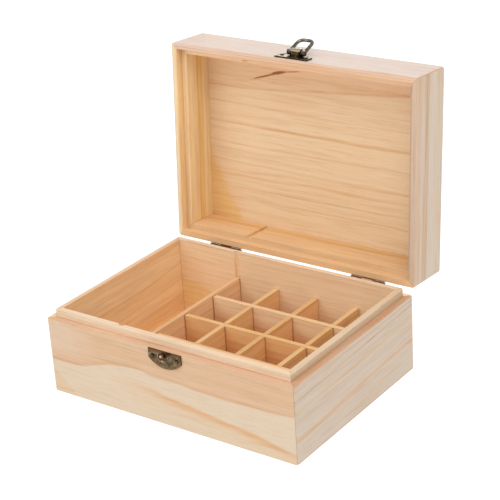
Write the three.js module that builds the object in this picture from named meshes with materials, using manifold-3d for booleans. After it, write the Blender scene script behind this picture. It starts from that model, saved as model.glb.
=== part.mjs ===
// Hinged pine storage box for essential oil bottles. A lid turns on two small butt hinges and closes with a snap loop.
// Inside are a long compartment, a divider that drops into grooves, and a lift-out grid of bottle cells.
// Millimetres. X runs to the right, Y to the back and Z up. The origin is the middle of the underside.
// The lid stands open and the loop stands up, as the box is displayed.

import * as THREE from "three";
import { mergeVertices } from "three/addons/utils/BufferGeometryUtils.js";
import Module from "manifold-3d";

const wasm = await Module();
wasm.setup();

// Whole box, lid closed
const boxWidth = 220;
const boxDepth = 160;
const boxHeight = 100;
const shoulderHeight = 61;
const wallThickness = 9.5;
const cornerRadius = 2.6;
const edgeRadius = 1;

// Lip of the body and the rebate of the lid that fits over it
const shoulderWidth = 5.2;
const lipHeight = 6.2;
const lipCornerRadius = 1.4;
const lipEdgeRadius = 0.6;
const lipClearance = 0.4;
const seamGap = 0.3;

// Thin panels, let into the walls
const panelThickness = 4;
const panelSeat = 4.5;
const glueGap = 0.1;

// Divider that drops into grooves of the front and back walls
const mainDividerPlace = -44;
const mainDividerHeight = 41.6;
const dividerThickness = 4;
const grooveDepth = 2;
const dividerPlay = 0.3;
const restGap = 0.2;

// Grid of cells
const gridHeight = 40.4;
const rowNames = ["front", "middle", "rear"];
const columnNames = ["right", "middle", "left"];
const lapPlay = 0.2;

// Hinges, each set in from its end of the back wall
const hingeInsets = { left: 46.7, right: 41 };
const hingeLength = 29;
const hingeAxisOffset = 3;
const hingeAxisRise = 0.7;
const leafHeight = 11;
const leafThickness = 1;
const leafNailSpread = 18;
const leafNailReach = 7;
const knuckleRadius = 2.6;
const knuckleGap = 0.3;
const hingePinRadius = 0.9;
const pinPlay = 0.2;
const plateGap = 0.2;
const openAngle = THREE.MathUtils.degToRad(93.8);

// Latch
const latchPlace = 1.6;
const plateWidth = 29;
const plateEndHeight = 7.4;
const plateHeight = 13.8;
const plateThickness = 1;
const plateEdgeInset = 0.2;
const latchNailSpread = 21.6;
const latchNailReach = 5.3;
const knobDrop = 2.7;
const knobBaseRadius = 2.6;
const knobBaseHeight = 0.45;
const knobStemRadius = 1.9;
const knobStemHeight = 3.2;
const knobHeadRadius = 3;
const knobHeadHeight = 2.1;
const knobTailRadius = 1;
const knobTailLength = 4;

// Snap loop of the latch, bent from wire. Its near side turns in a barrel of the lid's plate.
const loopShift = 0.6;
const loopAxisRise = 7.9;
const loopAxisOffset = 2.4;
const barrelRadius = 2.35;
const barrelLength = 9;
const barrelFootHeight = 3.6;
const loopLegSpread = 12.9;
const loopLength = 15.6;
const loopFarBend = 4.4;
const loopNearBend = 1.5;
const loopWireRadius = 1.15;
const loopAxleRadius = 1;
const loopPlay = 0.25;
const loopAngle = THREE.MathUtils.degToRad(156.7);

// Dome nails
const nailHeadRadius = 1.5;
const nailHeadHeight = 0.9;
const nailShankRadius = 0.6;
const nailLength = 4.2;
const nailPlay = 0.2;

// Roundness of the faceted curves
const overrun = 5;
const cornerSteps = 5;
const edgeSteps = 3;
const roundSides = 24;
const wireSides = 12;
const wireSteps = 48;
const nailSides = 16;
const domeSteps = 5;

// Places that follow from the sizes
const back = boxDepth / 2;
const front = -back;
const innerWidth = boxWidth - 2 * wallThickness;
const innerDepth = boxDepth - 2 * wallThickness;
const lipTop = shoulderHeight + lipHeight;
const lidBottom = shoulderHeight + seamGap;
const rebateTop = lipTop + lipClearance;
const lidInside = boxHeight - panelThickness;
const floorTop = panelThickness + restGap;
const grooveWidth = dividerThickness + 2 * dividerPlay;
const cellSide = (innerDepth - rowNames.length * dividerThickness) / (rowNames.length + 1);
const cellPitch = cellSide + dividerThickness;
const hingePlaces = { left: hingeInsets.left - boxWidth / 2, right: boxWidth / 2 - hingeInsets.right };
const axisY = back + hingeAxisOffset;
const axisZ = shoulderHeight + seamGap / 2 + hingeAxisRise;
const plateBack = front - plateGap;
const plateFront = plateBack - plateThickness;
const loopPlace = latchPlace + loopShift;
const loopAxisY = plateFront - loopAxisOffset;
const loopAxisZ = lidBottom + loopAxisRise;
const nailHoleRadius = nailShankRadius + nailPlay;

// Materials
const pine = new THREE.MeshStandardMaterial({ color: 0xe4c49c, roughness: 0.62, metalness: 0 });
const pinePanel = new THREE.MeshStandardMaterial({ color: 0xdfb98a, roughness: 0.6, metalness: 0 });
const pineDivider = new THREE.MeshStandardMaterial({ color: 0xd9ad78, roughness: 0.66, metalness: 0 });
const bronze = new THREE.MeshStandardMaterial({ color: 0x4d4436, roughness: 0.42, metalness: 0.9 });
const coppery = new THREE.MeshStandardMaterial({ color: 0x7c5a3e, roughness: 0.35, metalness: 0.9 });

// Turns a closed three.js geometry into a solid that can be joined and cut.
function solidOf(geometry) {
  const bare = geometry.index ? geometry.toNonIndexed() : geometry.clone();
  bare.deleteAttribute("normal");
  bare.deleteAttribute("uv");
  const merged = mergeVertices(bare);
  const corners = merged.index.array;
  const triangles = [];
  for (let i = 0; i < corners.length; i += 3) {
    const [a, b, c] = [corners[i], corners[i + 1], corners[i + 2]];
    if (a !== b && b !== c && c !== a) triangles.push(a, b, c);
  }
  const vertProperties = new Float32Array(merged.attributes.position.array);
  const triVerts = new Uint32Array(triangles);
  return new wasm.Manifold(new wasm.Mesh({ numProp: 3, vertProperties, triVerts }));
}

// Turns a solid back into a named mesh.
function meshOf(name, solid, material) {
  const { numProp, vertProperties, triVerts } = solid.getMesh();
  const position = new Float32Array((vertProperties.length / numProp) * 3);
  for (let i = 0; i < position.length / 3; i++) {
    position.set(vertProperties.subarray(i * numProp, i * numProp + 3), i * 3);
  }
  const indexed = new THREE.BufferGeometry();
  indexed.setAttribute("position", new THREE.BufferAttribute(position, 3));
  indexed.setIndex(new THREE.BufferAttribute(triVerts, 1));
  const faceted = indexed.toNonIndexed();
  faceted.computeVertexNormals();
  const mesh = new THREE.Mesh(faceted, material);
  mesh.name = name;
  return mesh;
}

// A box between two corners.
function block(low, high) {
  const size = high.map((value, i) => value - low[i]);
  const middle = high.map((value, i) => (value + low[i]) / 2);
  return solidOf(new THREE.BoxGeometry(...size).translate(...middle));
}

function rectangle(width, depth) {
  const shape = new THREE.Shape();
  shape.moveTo(-width / 2, -depth / 2);
  shape.lineTo(width / 2, -depth / 2);
  shape.lineTo(width / 2, depth / 2);
  shape.lineTo(-width / 2, depth / 2);
  shape.closePath();
  return shape;
}

function roundedRectangle(width, depth, radius) {
  const right = width / 2 - radius;
  const rear = depth / 2 - radius;
  const shape = new THREE.Shape();
  shape.absarc(right, -rear, radius, -Math.PI / 2, 0);
  shape.absarc(right, rear, radius, 0, Math.PI / 2);
  shape.absarc(-right, rear, radius, Math.PI / 2, Math.PI);
  shape.absarc(-right, -rear, radius, Math.PI, 1.5 * Math.PI);
  shape.closePath();
  return shape;
}

// An upright prism on a plan outline, its top and bottom edges rounded by a radius.
function prism(shape, bottom, top, rounding = 0) {
  const geometry = new THREE.ExtrudeGeometry(shape, {
    depth: top - bottom - 2 * rounding,
    curveSegments: cornerSteps,
    bevelEnabled: rounding > 0,
    bevelThickness: rounding,
    bevelSize: rounding,
    bevelOffset: -rounding,
    bevelSegments: edgeSteps,
  });
  return solidOf(geometry.translate(0, 0, bottom + rounding));
}

// A cylinder along X between two places.
function rodAlongX(from, to, y, z, radius, sides = roundSides) {
  const rod = new THREE.CylinderGeometry(radius, radius, to - from, sides);
  return solidOf(rod.rotateZ(Math.PI / 2).translate((from + to) / 2, y, z));
}

// A cylinder along Y between two places.
function rodAlongY(x, from, to, z, radius, sides = nailSides) {
  const rod = new THREE.CylinderGeometry(radius, radius, to - from, sides);
  return solidOf(rod.translate(x, (from + to) / 2, z));
}

// A body of revolution about Y. The profile runs from its lowest point on the axis to its highest.
function turned(profile, sides) {
  const points = profile.map(([radius, height]) => new THREE.Vector2(radius, height));
  return new THREE.LatheGeometry(points, sides);
}

// The quarter of an ellipse from a rim to the axis above it.
function domeProfile(radius, height, base) {
  const points = [];
  for (let i = 0; i <= domeSteps; i++) {
    const angle = (i / domeSteps) * (Math.PI / 2);
    const reach = i === domeSteps ? 0 : radius * Math.cos(angle);
    points.push([reach, base + height * Math.sin(angle)]);
  }
  return points;
}

// The plan of one mitred board, on the -Y side of a frame. Neighbours keep a glue gap at the mitre.
function mitrePlan(length, breadth) {
  const reach = wallThickness + overrun;
  const outer = length / 2 + overrun - glueGap;
  const inner = length / 2 - reach - glueGap;
  const shape = new THREE.Shape();
  shape.moveTo(-outer, -breadth / 2 - overrun);
  shape.lineTo(outer, -breadth / 2 - overrun);
  shape.lineTo(inner, -breadth / 2 + reach);
  shape.lineTo(-inner, -breadth / 2 + reach);
  shape.closePath();
  return shape;
}

// Cuts a frame into its four mitred boards.
function boardsOf(frame) {
  const sides = [
    ["front", boxWidth, boxDepth, 0],
    ["right", boxDepth, boxWidth, Math.PI / 2],
    ["back", boxWidth, boxDepth, Math.PI],
    ["left", boxDepth, boxWidth, -Math.PI / 2],
  ];
  const boards = {};
  for (const [side, length, breadth, turn] of sides) {
    const wedge = new THREE.ExtrudeGeometry(mitrePlan(length, breadth), {
      depth: boxHeight + 2 * overrun,
      bevelEnabled: false,
    });
    wedge.translate(0, 0, -overrun).rotateZ(turn);
    boards[side] = frame.intersect(solidOf(wedge));
  }
  return boards;
}

// The room that the main divider's grooves take out of a frame, between two heights.
function grooveCut(bottom, top) {
  const reach = innerDepth / 2 + grooveDepth;
  const left = mainDividerPlace - grooveWidth / 2;
  return block([left, -reach, bottom], [left + grooveWidth, reach, top]);
}

// Frame of the body: outer walls, raised lip, open inside, rebate for the bottom panel.
function bodyFrame() {
  const lipWidth = boxWidth - 2 * shoulderWidth;
  const lipDepth = boxDepth - 2 * shoulderWidth;
  const outer = prism(roundedRectangle(boxWidth, boxDepth, cornerRadius), 0, shoulderHeight, edgeRadius);
  const lipPlan = roundedRectangle(lipWidth, lipDepth, lipCornerRadius);
  const lip = prism(lipPlan, panelThickness, lipTop, lipEdgeRadius);
  const inside = prism(rectangle(innerWidth, innerDepth), -overrun, lipTop + overrun);
  const seat = rectangle(innerWidth + 2 * panelSeat, innerDepth + 2 * panelSeat);
  return outer
    .add(lip)
    .subtract(inside)
    .subtract(prism(seat, -overrun, panelThickness + glueGap))
    .subtract(grooveCut(panelThickness + glueGap, lipTop + overrun));
}

// Frame of the closed lid: outer walls, rebate over the lip, open inside, rebate for the top panel.
function lidFrame() {
  const rim = shoulderWidth - lipClearance;
  const rebatePlan = roundedRectangle(boxWidth - 2 * rim, boxDepth - 2 * rim, lipCornerRadius);
  const outerPlan = roundedRectangle(boxWidth, boxDepth, cornerRadius);
  const seat = rectangle(innerWidth + 2 * panelSeat, innerDepth + 2 * panelSeat);
  return prism(outerPlan, lidBottom, boxHeight, edgeRadius)
    .subtract(prism(rebatePlan, lidBottom - overrun, rebateTop))
    .subtract(prism(rectangle(innerWidth, innerDepth), lidBottom - overrun, boxHeight + overrun))
    .subtract(prism(seat, lidInside - glueGap, boxHeight + overrun))
    .subtract(grooveCut(lidBottom - overrun, lidInside - glueGap));
}

// A thin panel that sits in the rebates of a frame.
function panel(bottom) {
  const reach = panelSeat - glueGap;
  const plan = rectangle(innerWidth + 2 * reach, innerDepth + 2 * reach);
  return prism(plan, bottom, bottom + panelThickness);
}

function mainDivider() {
  const reach = innerDepth / 2 + grooveDepth - dividerPlay;
  const left = mainDividerPlace - dividerThickness / 2;
  const top = floorTop + mainDividerHeight;
  return block([left, -reach, floorTop], [left + dividerThickness, reach, top]);
}

// Places of the grid's boards. Cells are square, counted from the front wall and from the right wall.
const rowPlaces = rowNames.map((_, i) => -innerDepth / 2 + (i + 1) * cellPitch - dividerThickness / 2);
const columnPlaces = columnNames.map((_, i) => innerWidth / 2 - (i + 1) * cellPitch + dividerThickness / 2);

// A slot that one board of the grid gives to a board crossing it.
function lapSlot(x, y, bottom, top) {
  const half = dividerThickness / 2 + lapPlay;
  return block([x - half, y - half, bottom], [x + half, y + half, top]);
}

// Boards that run left to right, slotted from below.
function rowDivider(y) {
  const left = mainDividerPlace + dividerThickness / 2 + dividerPlay;
  const right = innerWidth / 2 - dividerPlay;
  const half = dividerThickness / 2;
  const lap = floorTop + gridHeight / 2 + lapPlay;
  let board = block([left, y - half, floorTop], [right, y + half, floorTop + gridHeight]);
  for (const x of columnPlaces) board = board.subtract(lapSlot(x, y, floorTop - overrun, lap));
  return board;
}

// Boards that run front to back, slotted from above.
function columnDivider(x) {
  const reach = innerDepth / 2 - dividerPlay;
  const half = dividerThickness / 2;
  const lap = floorTop + gridHeight / 2;
  let board = block([x - half, -reach, floorTop], [x + half, reach, floorTop + gridHeight]);
  for (const y of rowPlaces) board = board.subtract(lapSlot(x, y, lap, floorTop + gridHeight + overrun));
  return board;
}

// One leaf of a butt hinge, its plate upright against the back of the box with the lid closed.
// The body's leaf hangs below the axis and carries the outer knuckles. The lid's leaf has the middle one.
function hingeLeaf(place, isLid) {
  const left = place - hingeLength / 2;
  const right = place + hingeLength / 2;
  const third = hingeLength / 3;
  const middle = [[left + third + knuckleGap / 2, right - third - knuckleGap / 2]];
  const outer = [
    [left, left + third - knuckleGap / 2],
    [right - third + knuckleGap / 2, right],
  ];
  const [own, other] = isLid ? [middle, outer] : [outer, middle];
  const far = isLid ? axisZ + leafHeight : axisZ - leafHeight;
  const inner = back + plateGap;
  const low = [left, inner, Math.min(axisZ, far)];
  const high = [right, inner + leafThickness, Math.max(axisZ, far)];
  let leaf = block(low, high);
  for (const [from, to] of other) {
    const room = rodAlongX(from - knuckleGap, to + knuckleGap, axisY, axisZ, knuckleRadius + knuckleGap);
    leaf = leaf.subtract(room);
  }
  for (const [from, to] of own) leaf = leaf.add(rodAlongX(from, to, axisY, axisZ, knuckleRadius));
  const bore = rodAlongX(left - overrun, right + overrun, axisY, axisZ, hingePinRadius + pinPlay);
  leaf = leaf.subtract(bore);
  for (const nail of leafNails(place, isLid)) leaf = leaf.subtract(nailHole(nail));
  return leaf;
}

// Where the two nails of a leaf go. Nails on the back of the box point forward.
function leafNails(place, isLid) {
  const z = isLid ? axisZ + leafNailReach : axisZ - leafNailReach;
  const y = back + plateGap + leafThickness;
  return [-1, 1].map((side) => ({ x: place + (side * leafNailSpread) / 2, y, z, outward: 1 }));
}

// Where the two nails of a latch plate go. Nails on the front of the box point back.
function latchNails(isLid) {
  const z = isLid ? lidBottom + latchNailReach : shoulderHeight - latchNailReach;
  return [-1, 1].map((side) => ({ x: latchPlace + (side * latchNailSpread) / 2, y: plateFront, z, outward: -1 }));
}

// The hole that a nail needs in its plate and in the wood behind.
function nailHole({ x, y, z, outward }) {
  const tip = y - outward * (nailLength + nailPlay);
  const mouth = y + outward * overrun;
  return rodAlongY(x, Math.min(tip, mouth), Math.max(tip, mouth), z, nailHoleRadius);
}

// A dome nail whose head sits on its plate.
function nail({ x, y, z, outward }) {
  const underHead = plateGap / 2;
  const profile = [
    [0, -nailLength],
    [nailShankRadius, -nailLength + nailShankRadius],
    [nailShankRadius, underHead],
    ...domeProfile(nailHeadRadius, nailHeadHeight, underHead),
  ];
  const body = turned(profile, nailSides);
  if (outward < 0) body.rotateX(Math.PI);
  return solidOf(body.translate(x, y, z));
}

// The half-moon outline of a latch plate: a flat edge, two short upright ends and a bowed edge.
function halfMoon() {
  const half = plateWidth / 2;
  const bow = plateHeight - plateEndHeight;
  const radius = (half * half + bow * bow) / (2 * bow);
  const centre = plateHeight - radius;
  const reach = Math.asin(half / radius);
  const shape = new THREE.Shape();
  shape.moveTo(-half, 0);
  shape.lineTo(half, 0);
  shape.absarc(0, centre, radius, Math.PI / 2 - reach, Math.PI / 2 + reach);
  shape.closePath();
  return shape;
}

// A latch plate upright on the front of the box, its flat edge at the given height.
function latchPlate(edge, isLid) {
  const plate = new THREE.ExtrudeGeometry(halfMoon(), {
    depth: plateThickness,
    curveSegments: roundSides,
    bevelEnabled: false,
  });
  plate.rotateX(Math.PI / 2);
  if (!isLid) plate.rotateY(Math.PI);
  plate.translate(latchPlace, plateBack, edge);
  let solid = solidOf(plate);
  for (const place of latchNails(isLid)) solid = solid.subtract(nailHole(place));
  return solid;
}

const knobZ = shoulderHeight - knobDrop;

function knobHole() {
  const radius = knobTailRadius + nailPlay;
  return rodAlongY(latchPlace, plateFront - overrun, plateFront + knobTailLength + nailPlay, knobZ, radius);
}

// The knob that the loop snaps over: a base ring, a waist and a domed head, riveted through the strike plate.
function strikeKnob() {
  const base = plateGap / 2;
  const waist = base + knobBaseHeight;
  const head = waist + knobStemHeight;
  const profile = [
    [0, -knobTailLength],
    [knobTailRadius, -knobTailLength],
    [knobTailRadius, base],
    [knobBaseRadius, base],
    [knobBaseRadius, waist],
    [knobStemRadius, waist],
    [knobStemRadius, head],
    ...domeProfile(knobHeadRadius, knobHeadHeight, head),
  ];
  const knob = turned(profile, roundSides).rotateX(Math.PI);
  return solidOf(knob.translate(latchPlace, plateFront, knobZ));
}

// The plate on the lid, with a barrel on a low foot that the loop turns in.
function haspPlate() {
  const left = loopPlace - barrelLength / 2;
  const right = loopPlace + barrelLength / 2;
  const low = [left, loopAxisY, loopAxisZ - barrelFootHeight / 2];
  const high = [right, plateBack - plateThickness / 2, loopAxisZ + barrelFootHeight / 2];
  const bore = rodAlongX(left - overrun, right + overrun, loopAxisY, loopAxisZ, loopAxleRadius + loopPlay);
  return latchPlate(lidBottom + plateEdgeInset, true)
    .add(block(low, high))
    .add(rodAlongX(left, right, loopAxisY, loopAxisZ, barrelRadius))
    .subtract(bore);
}

// The centre line of the loop's wire, hanging down from the hinge line and open where the axle closes it.
function loopPath(opening) {
  const half = loopLegSpread / 2;
  const near = half - loopNearBend;
  const far = half - loopFarBend;
  const farDrop = loopFarBend - loopLength;
  const plan = new THREE.Path();
  plan.moveTo(-opening / 2, 0);
  plan.lineTo(-near, 0);
  plan.absarc(-near, -loopNearBend, loopNearBend, Math.PI / 2, Math.PI);
  plan.lineTo(-half, farDrop);
  plan.absarc(-far, farDrop, loopFarBend, Math.PI, 1.5 * Math.PI);
  plan.absarc(far, farDrop, loopFarBend, 1.5 * Math.PI, 2 * Math.PI);
  plan.lineTo(half, -loopNearBend);
  plan.absarc(near, -loopNearBend, loopNearBend, 0, Math.PI / 2);
  plan.lineTo(opening / 2, 0);
  const points = plan.getSpacedPoints(wireSteps).map((point) => new THREE.Vector3(point.x, 0, point.y));
  return new THREE.CatmullRomCurve3(points, false, "centripetal");
}

// The snap loop about its own hinge line: a bent wire closed by a slightly thinner axle.
function haspLoop() {
  const opening = barrelLength + 2 * loopPlay;
  const section = new THREE.Shape();
  section.absarc(0, 0, loopWireRadius, 0, 2 * Math.PI);
  const wire = new THREE.ExtrudeGeometry(section, {
    steps: wireSteps,
    curveSegments: wireSides,
    extrudePath: loopPath(opening),
  });
  const reach = opening / 2 + loopPlay;
  return solidOf(wire).add(rodAlongX(-reach, reach, 0, 0, loopAxleRadius));
}

// Takes the holes of a list of nails out of a board.
function withNailHoles(board, nails) {
  return nails.reduce((left, place) => left.subtract(nailHole(place)), board);
}

// Scene
const hingeSides = Object.entries(hingePlaces);
const bodyNails = hingeSides.flatMap(([, place]) => leafNails(place, false));
const lidNails = hingeSides.flatMap(([, place]) => leafNails(place, true));
const root = new THREE.Group();
const lid = new THREE.Group();
const closedLid = new THREE.Group();
lid.position.set(0, axisY, axisZ);
lid.rotation.x = -openAngle;
closedLid.position.set(0, -axisY, -axisZ);
root.add(lid);
lid.add(closedLid);

const bodyBoards = boardsOf(bodyFrame());
bodyBoards.front = withNailHoles(bodyBoards.front, latchNails(false)).subtract(knobHole());
bodyBoards.back = withNailHoles(bodyBoards.back, bodyNails);
for (const [side, board] of Object.entries(bodyBoards)) root.add(meshOf(`${side}_wall`, board, pine));
root.add(meshOf("bottom_panel", panel(0), pinePanel));
root.add(meshOf("main_divider", mainDivider(), pineDivider));
rowNames.forEach((name, i) => {
  root.add(meshOf(`row_divider_${name}`, rowDivider(rowPlaces[i]), pineDivider));
});
columnNames.forEach((name, i) => {
  root.add(meshOf(`column_divider_${name}`, columnDivider(columnPlaces[i]), pineDivider));
});

const lidBoards = boardsOf(lidFrame());
lidBoards.front = withNailHoles(lidBoards.front, latchNails(true));
lidBoards.back = withNailHoles(lidBoards.back, lidNails);
for (const [side, board] of Object.entries(lidBoards)) closedLid.add(meshOf(`lid_${side}_wall`, board, pine));
closedLid.add(meshOf("lid_panel", panel(lidInside), pinePanel));

for (const [side, place] of hingeSides) {
  const name = `${side}_hinge`;
  const half = hingeLength / 2;
  root.add(meshOf(`${name}_body_leaf`, hingeLeaf(place, false), bronze));
  closedLid.add(meshOf(`${name}_lid_leaf`, hingeLeaf(place, true), bronze));
  root.add(meshOf(`${name}_pin`, rodAlongX(place - half, place + half, axisY, axisZ, hingePinRadius), bronze));
  leafNails(place, false).forEach((spot, i) => {
    root.add(meshOf(`${name}_body_nail_${i ? "right" : "left"}`, nail(spot), bronze));
  });
  leafNails(place, true).forEach((spot, i) => {
    closedLid.add(meshOf(`${name}_lid_nail_${i ? "right" : "left"}`, nail(spot), bronze));
  });
}

root.add(meshOf("strike_plate", latchPlate(shoulderHeight, false).subtract(knobHole()), bronze));
root.add(meshOf("strike_knob", strikeKnob(), coppery));
latchNails(false).forEach((spot, i) => {
  root.add(meshOf(`strike_nail_${i ? "right" : "left"}`, nail(spot), bronze));
});
closedLid.add(meshOf("hasp_plate", haspPlate(), bronze));
latchNails(true).forEach((spot, i) => {
  closedLid.add(meshOf(`hasp_nail_${i ? "right" : "left"}`, nail(spot), bronze));
});

const loop = meshOf("hasp_loop", haspLoop(), bronze);
loop.position.set(loopPlace, loopAxisY, loopAxisZ);
loop.rotation.x = -loopAngle;
closedLid.add(loop);

export default root;
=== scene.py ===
"""Looks of a hinged pine box for essential oil bottles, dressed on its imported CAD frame.

Each board is a copy of its CAD board with eased edges, sawn from its own piece of pine. The hinges and the
latch are modelled afresh in antique bronze. Sizes are in millimetres, and MM turns them into metres.
"""

import logging
import math
from collections.abc import Callable, Iterator, Sequence
from contextlib import contextmanager
from dataclasses import dataclass, field, replace
from enum import Enum

import bmesh
import bpy
from bpy.types import Object
from mathutils import Matrix, Vector


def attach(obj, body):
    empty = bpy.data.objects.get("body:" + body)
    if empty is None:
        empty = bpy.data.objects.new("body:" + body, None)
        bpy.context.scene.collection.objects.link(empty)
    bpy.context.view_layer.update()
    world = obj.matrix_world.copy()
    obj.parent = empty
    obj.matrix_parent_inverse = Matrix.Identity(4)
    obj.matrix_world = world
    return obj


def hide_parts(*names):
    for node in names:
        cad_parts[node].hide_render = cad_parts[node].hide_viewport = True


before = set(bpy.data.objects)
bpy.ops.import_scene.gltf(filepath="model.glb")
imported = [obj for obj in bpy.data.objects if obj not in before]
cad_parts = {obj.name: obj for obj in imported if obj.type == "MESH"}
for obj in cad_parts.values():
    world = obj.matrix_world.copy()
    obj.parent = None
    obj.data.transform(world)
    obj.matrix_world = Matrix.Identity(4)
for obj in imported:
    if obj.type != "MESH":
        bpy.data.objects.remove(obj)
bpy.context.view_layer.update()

MM = 0.001
log = logging.getLogger("oil_box")

Point = tuple[float, float, float]
Colour = tuple[float, float, float]
Path = tuple[tuple[float, float], ...]
Face = bpy.types.MeshPolygon


def tone(red: int, green: int, blue: int) -> Colour:
    """Turns a colour as a screen shows it, 0 to 255, into the linear one that a shader mixes."""
    shares = (value / 255 for value in (red, green, blue))
    return tuple(s / 12.92 if s <= 0.04045 else ((s + 0.055) / 1.055) ** 2.4 for s in shares)


# Shader maths


class Signal:
    """A number that varies over a surface. Python's operators add the Math nodes that work on it."""

    def __init__(self, paint: "Paint", socket: bpy.types.NodeSocket) -> None:
        """Wraps an output socket of a material's node."""
        self.paint = paint
        self.socket = socket

    def __add__(self, other: "Signal | float") -> "Signal":
        """Adds."""
        return self.paint.math("ADD", self, other)

    def __sub__(self, other: "Signal | float") -> "Signal":
        """Subtracts."""
        return self.paint.math("SUBTRACT", self, other)

    def __mul__(self, other: "Signal | float") -> "Signal":
        """Multiplies."""
        return self.paint.math("MULTIPLY", self, other)

    def __truediv__(self, other: "Signal | float") -> "Signal":
        """Divides."""
        return self.paint.math("DIVIDE", self, other)

    def __pow__(self, other: "Signal | float") -> "Signal":
        """Raises to a power."""
        return self.paint.math("POWER", self, other)

    def __rsub__(self, other: float) -> "Signal":
        """Subtracts from a number."""
        return self.paint.math("SUBTRACT", other, self)

    def __rtruediv__(self, other: float) -> "Signal":
        """Divides a number."""
        return self.paint.math("DIVIDE", other, self)

    __radd__ = __add__
    __rmul__ = __mul__


class Paint:
    """A material in the making: one Principled shader and the nodes that feed it."""

    def __init__(self, name: str) -> None:
        """Starts a material with a bare shader.

        Args:
            name: The material's name.
        """
        self.material = bpy.data.materials.new(name)
        self.material.use_nodes = True
        self.tree = self.material.node_tree
        self.tree.nodes.clear()
        self.shader = self.tree.nodes.new("ShaderNodeBsdfPrincipled")
        output = self.tree.nodes.new("ShaderNodeOutputMaterial")
        self.tree.links.new(self.shader.outputs[0], output.inputs["Surface"])

    def node(
        self,
        kind: str,
        settings: dict[str, object] | None = None,
        sockets: dict[str | int, object] | None = None,
        output: str | int = 0,
    ) -> Signal:
        """Adds one node.

        Args:
            kind: The node's type.
            settings: Its options, which are set first. The points of a curve are a list.
            sockets: Values or signals by the name or number of an input.
            output: The name or number of the output that is wanted.

        Returns:
            The node's output.
        """
        made = self.tree.nodes.new(kind)
        for name, value in (settings or {}).items():
            if name == "points":
                self._set_points(made.mapping, value)
            else:
                setattr(made, name, value)
        for key, value in (sockets or {}).items():
            self._feed(made.inputs[key], value)
        return Signal(self, made.outputs[output])

    def _feed(self, entry: bpy.types.NodeSocket, value: object) -> None:
        """Links a signal to an input, or sets the input to a value.

        Args:
            entry: The input.
            value: The signal or the value.
        """
        if isinstance(value, Signal):
            self.tree.links.new(value.socket, entry)
        elif entry.type == "RGBA":
            entry.default_value = (*value[:3], 1.0)
        else:
            entry.default_value = value

    @staticmethod
    def _set_points(mapping: bpy.types.CurveMapping, points: Sequence[tuple[float, float]]) -> None:
        """Gives a curve its points.

        Args:
            mapping: The curve's node.
            points: Places and heights, all between 0 and 1.
        """
        curve = mapping.curves[0]
        curve.points[0].location = points[0]
        curve.points[1].location = points[-1]
        for place in points[1:-1]:
            curve.points.new(*place)
        mapping.update()

    def math(self, operation: str, *values: Signal | float) -> Signal:
        """Adds a Math node on numbers or signals."""
        return self.node("ShaderNodeMath", {"operation": operation}, dict(enumerate(values)))

    def vector(self, *values: Signal | float) -> Signal:
        """Makes a vector of three numbers or signals."""
        return self.node("ShaderNodeCombineXYZ", None, dict(enumerate(values)))

    def mix(self, below: object, above: object, share: Signal | float, blend: str = "MIX") -> Signal:
        """Lays one colour over another by a share."""
        settings = {"data_type": "RGBA", "blend_type": blend, "clamp_factor": True}
        return self.node("ShaderNodeMix", settings, {0: share, 6: below, 7: above}, 2)

    def tint(self, colour: object, by: object, share: Signal | float) -> Signal:
        """Multiplies a colour by another one, by a share."""
        return self.mix(colour, by, share, "MULTIPLY")

    def step(self, value: Signal, low: float, high: float, start: float = 0.0, end: float = 1.0) -> Signal:
        """A soft step from start to end as a value goes from low to high."""
        sockets = {"Value": value, "From Min": low, "From Max": high, "To Min": start, "To Max": end}
        return self.node("ShaderNodeMapRange", {"interpolation_type": "SMOOTHSTEP"}, sockets)

    def noise(self, place: Signal, scale: float = 1.0, detail: float = 2.0, roughness: float = 0.5) -> Signal:
        """Noise about 0.5 at a place."""
        sockets = {"Vector": place, "Scale": scale, "Detail": detail, "Roughness": roughness}
        return self.node("ShaderNodeTexNoise", None, sockets)

    def course(self, along: Signal, path: Path) -> Signal:
        """A height that follows a path.

        Args:
            along: Where on the path.
            path: Places and heights, from the first place to the last.

        Returns:
            The height, held level past both ends.
        """
        first, last = path[0][0], path[-1][0]
        heights = [height for _, height in path]
        low, room = min(heights), max(heights) - min(heights)
        points = [((place - first) / (last - first), (height - low) / room) for place, height in path]
        share = (along - first) / (last - first)
        return self.node("ShaderNodeFloatCurve", {"points": points}, {"Value": share}) * room + low

    def place(self, turn: float = 0.0, shift: Point = (0.0, 0.0, 0.0)) -> tuple[Signal, Signal, Signal]:
        """The place on the piece in millimetres.

        Args:
            turn: An angle about X that turns the piece first.
            shift: Added after the turn.

        Returns:
            X, Y and Z.
        """
        where = self.node("ShaderNodeTexCoord", None, None, "Object")
        scale = (1 / MM,) * 3
        sockets = {"Vector": where, "Location": shift, "Rotation": (turn, 0.0, 0.0), "Scale": scale}
        turned = self.node("ShaderNodeMapping", {"vector_type": "POINT"}, sockets)
        xyz = self.node("ShaderNodeSeparateXYZ", None, {0: turned})
        return tuple(Signal(self, socket) for socket in xyz.socket.node.outputs)

    def finish(
        self, bump: tuple[float, float, Signal] | None = None, **sockets: object
    ) -> bpy.types.Material:
        """Hands over the material.

        Args:
            bump: The strength, depth in metres and height of its bumps.
            sockets: The shader's other inputs, with underscores for spaces.

        Returns:
            The material.
        """
        if bump:
            entries = dict(zip(("Strength", "Distance", "Height"), bump))
            sockets["Normal"] = self.node("ShaderNodeBump", None, entries)
        for name, value in sockets.items():
            self._feed(self.shader.inputs[name.replace("_", " ")], value)
        return self.material


# The lid


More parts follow.
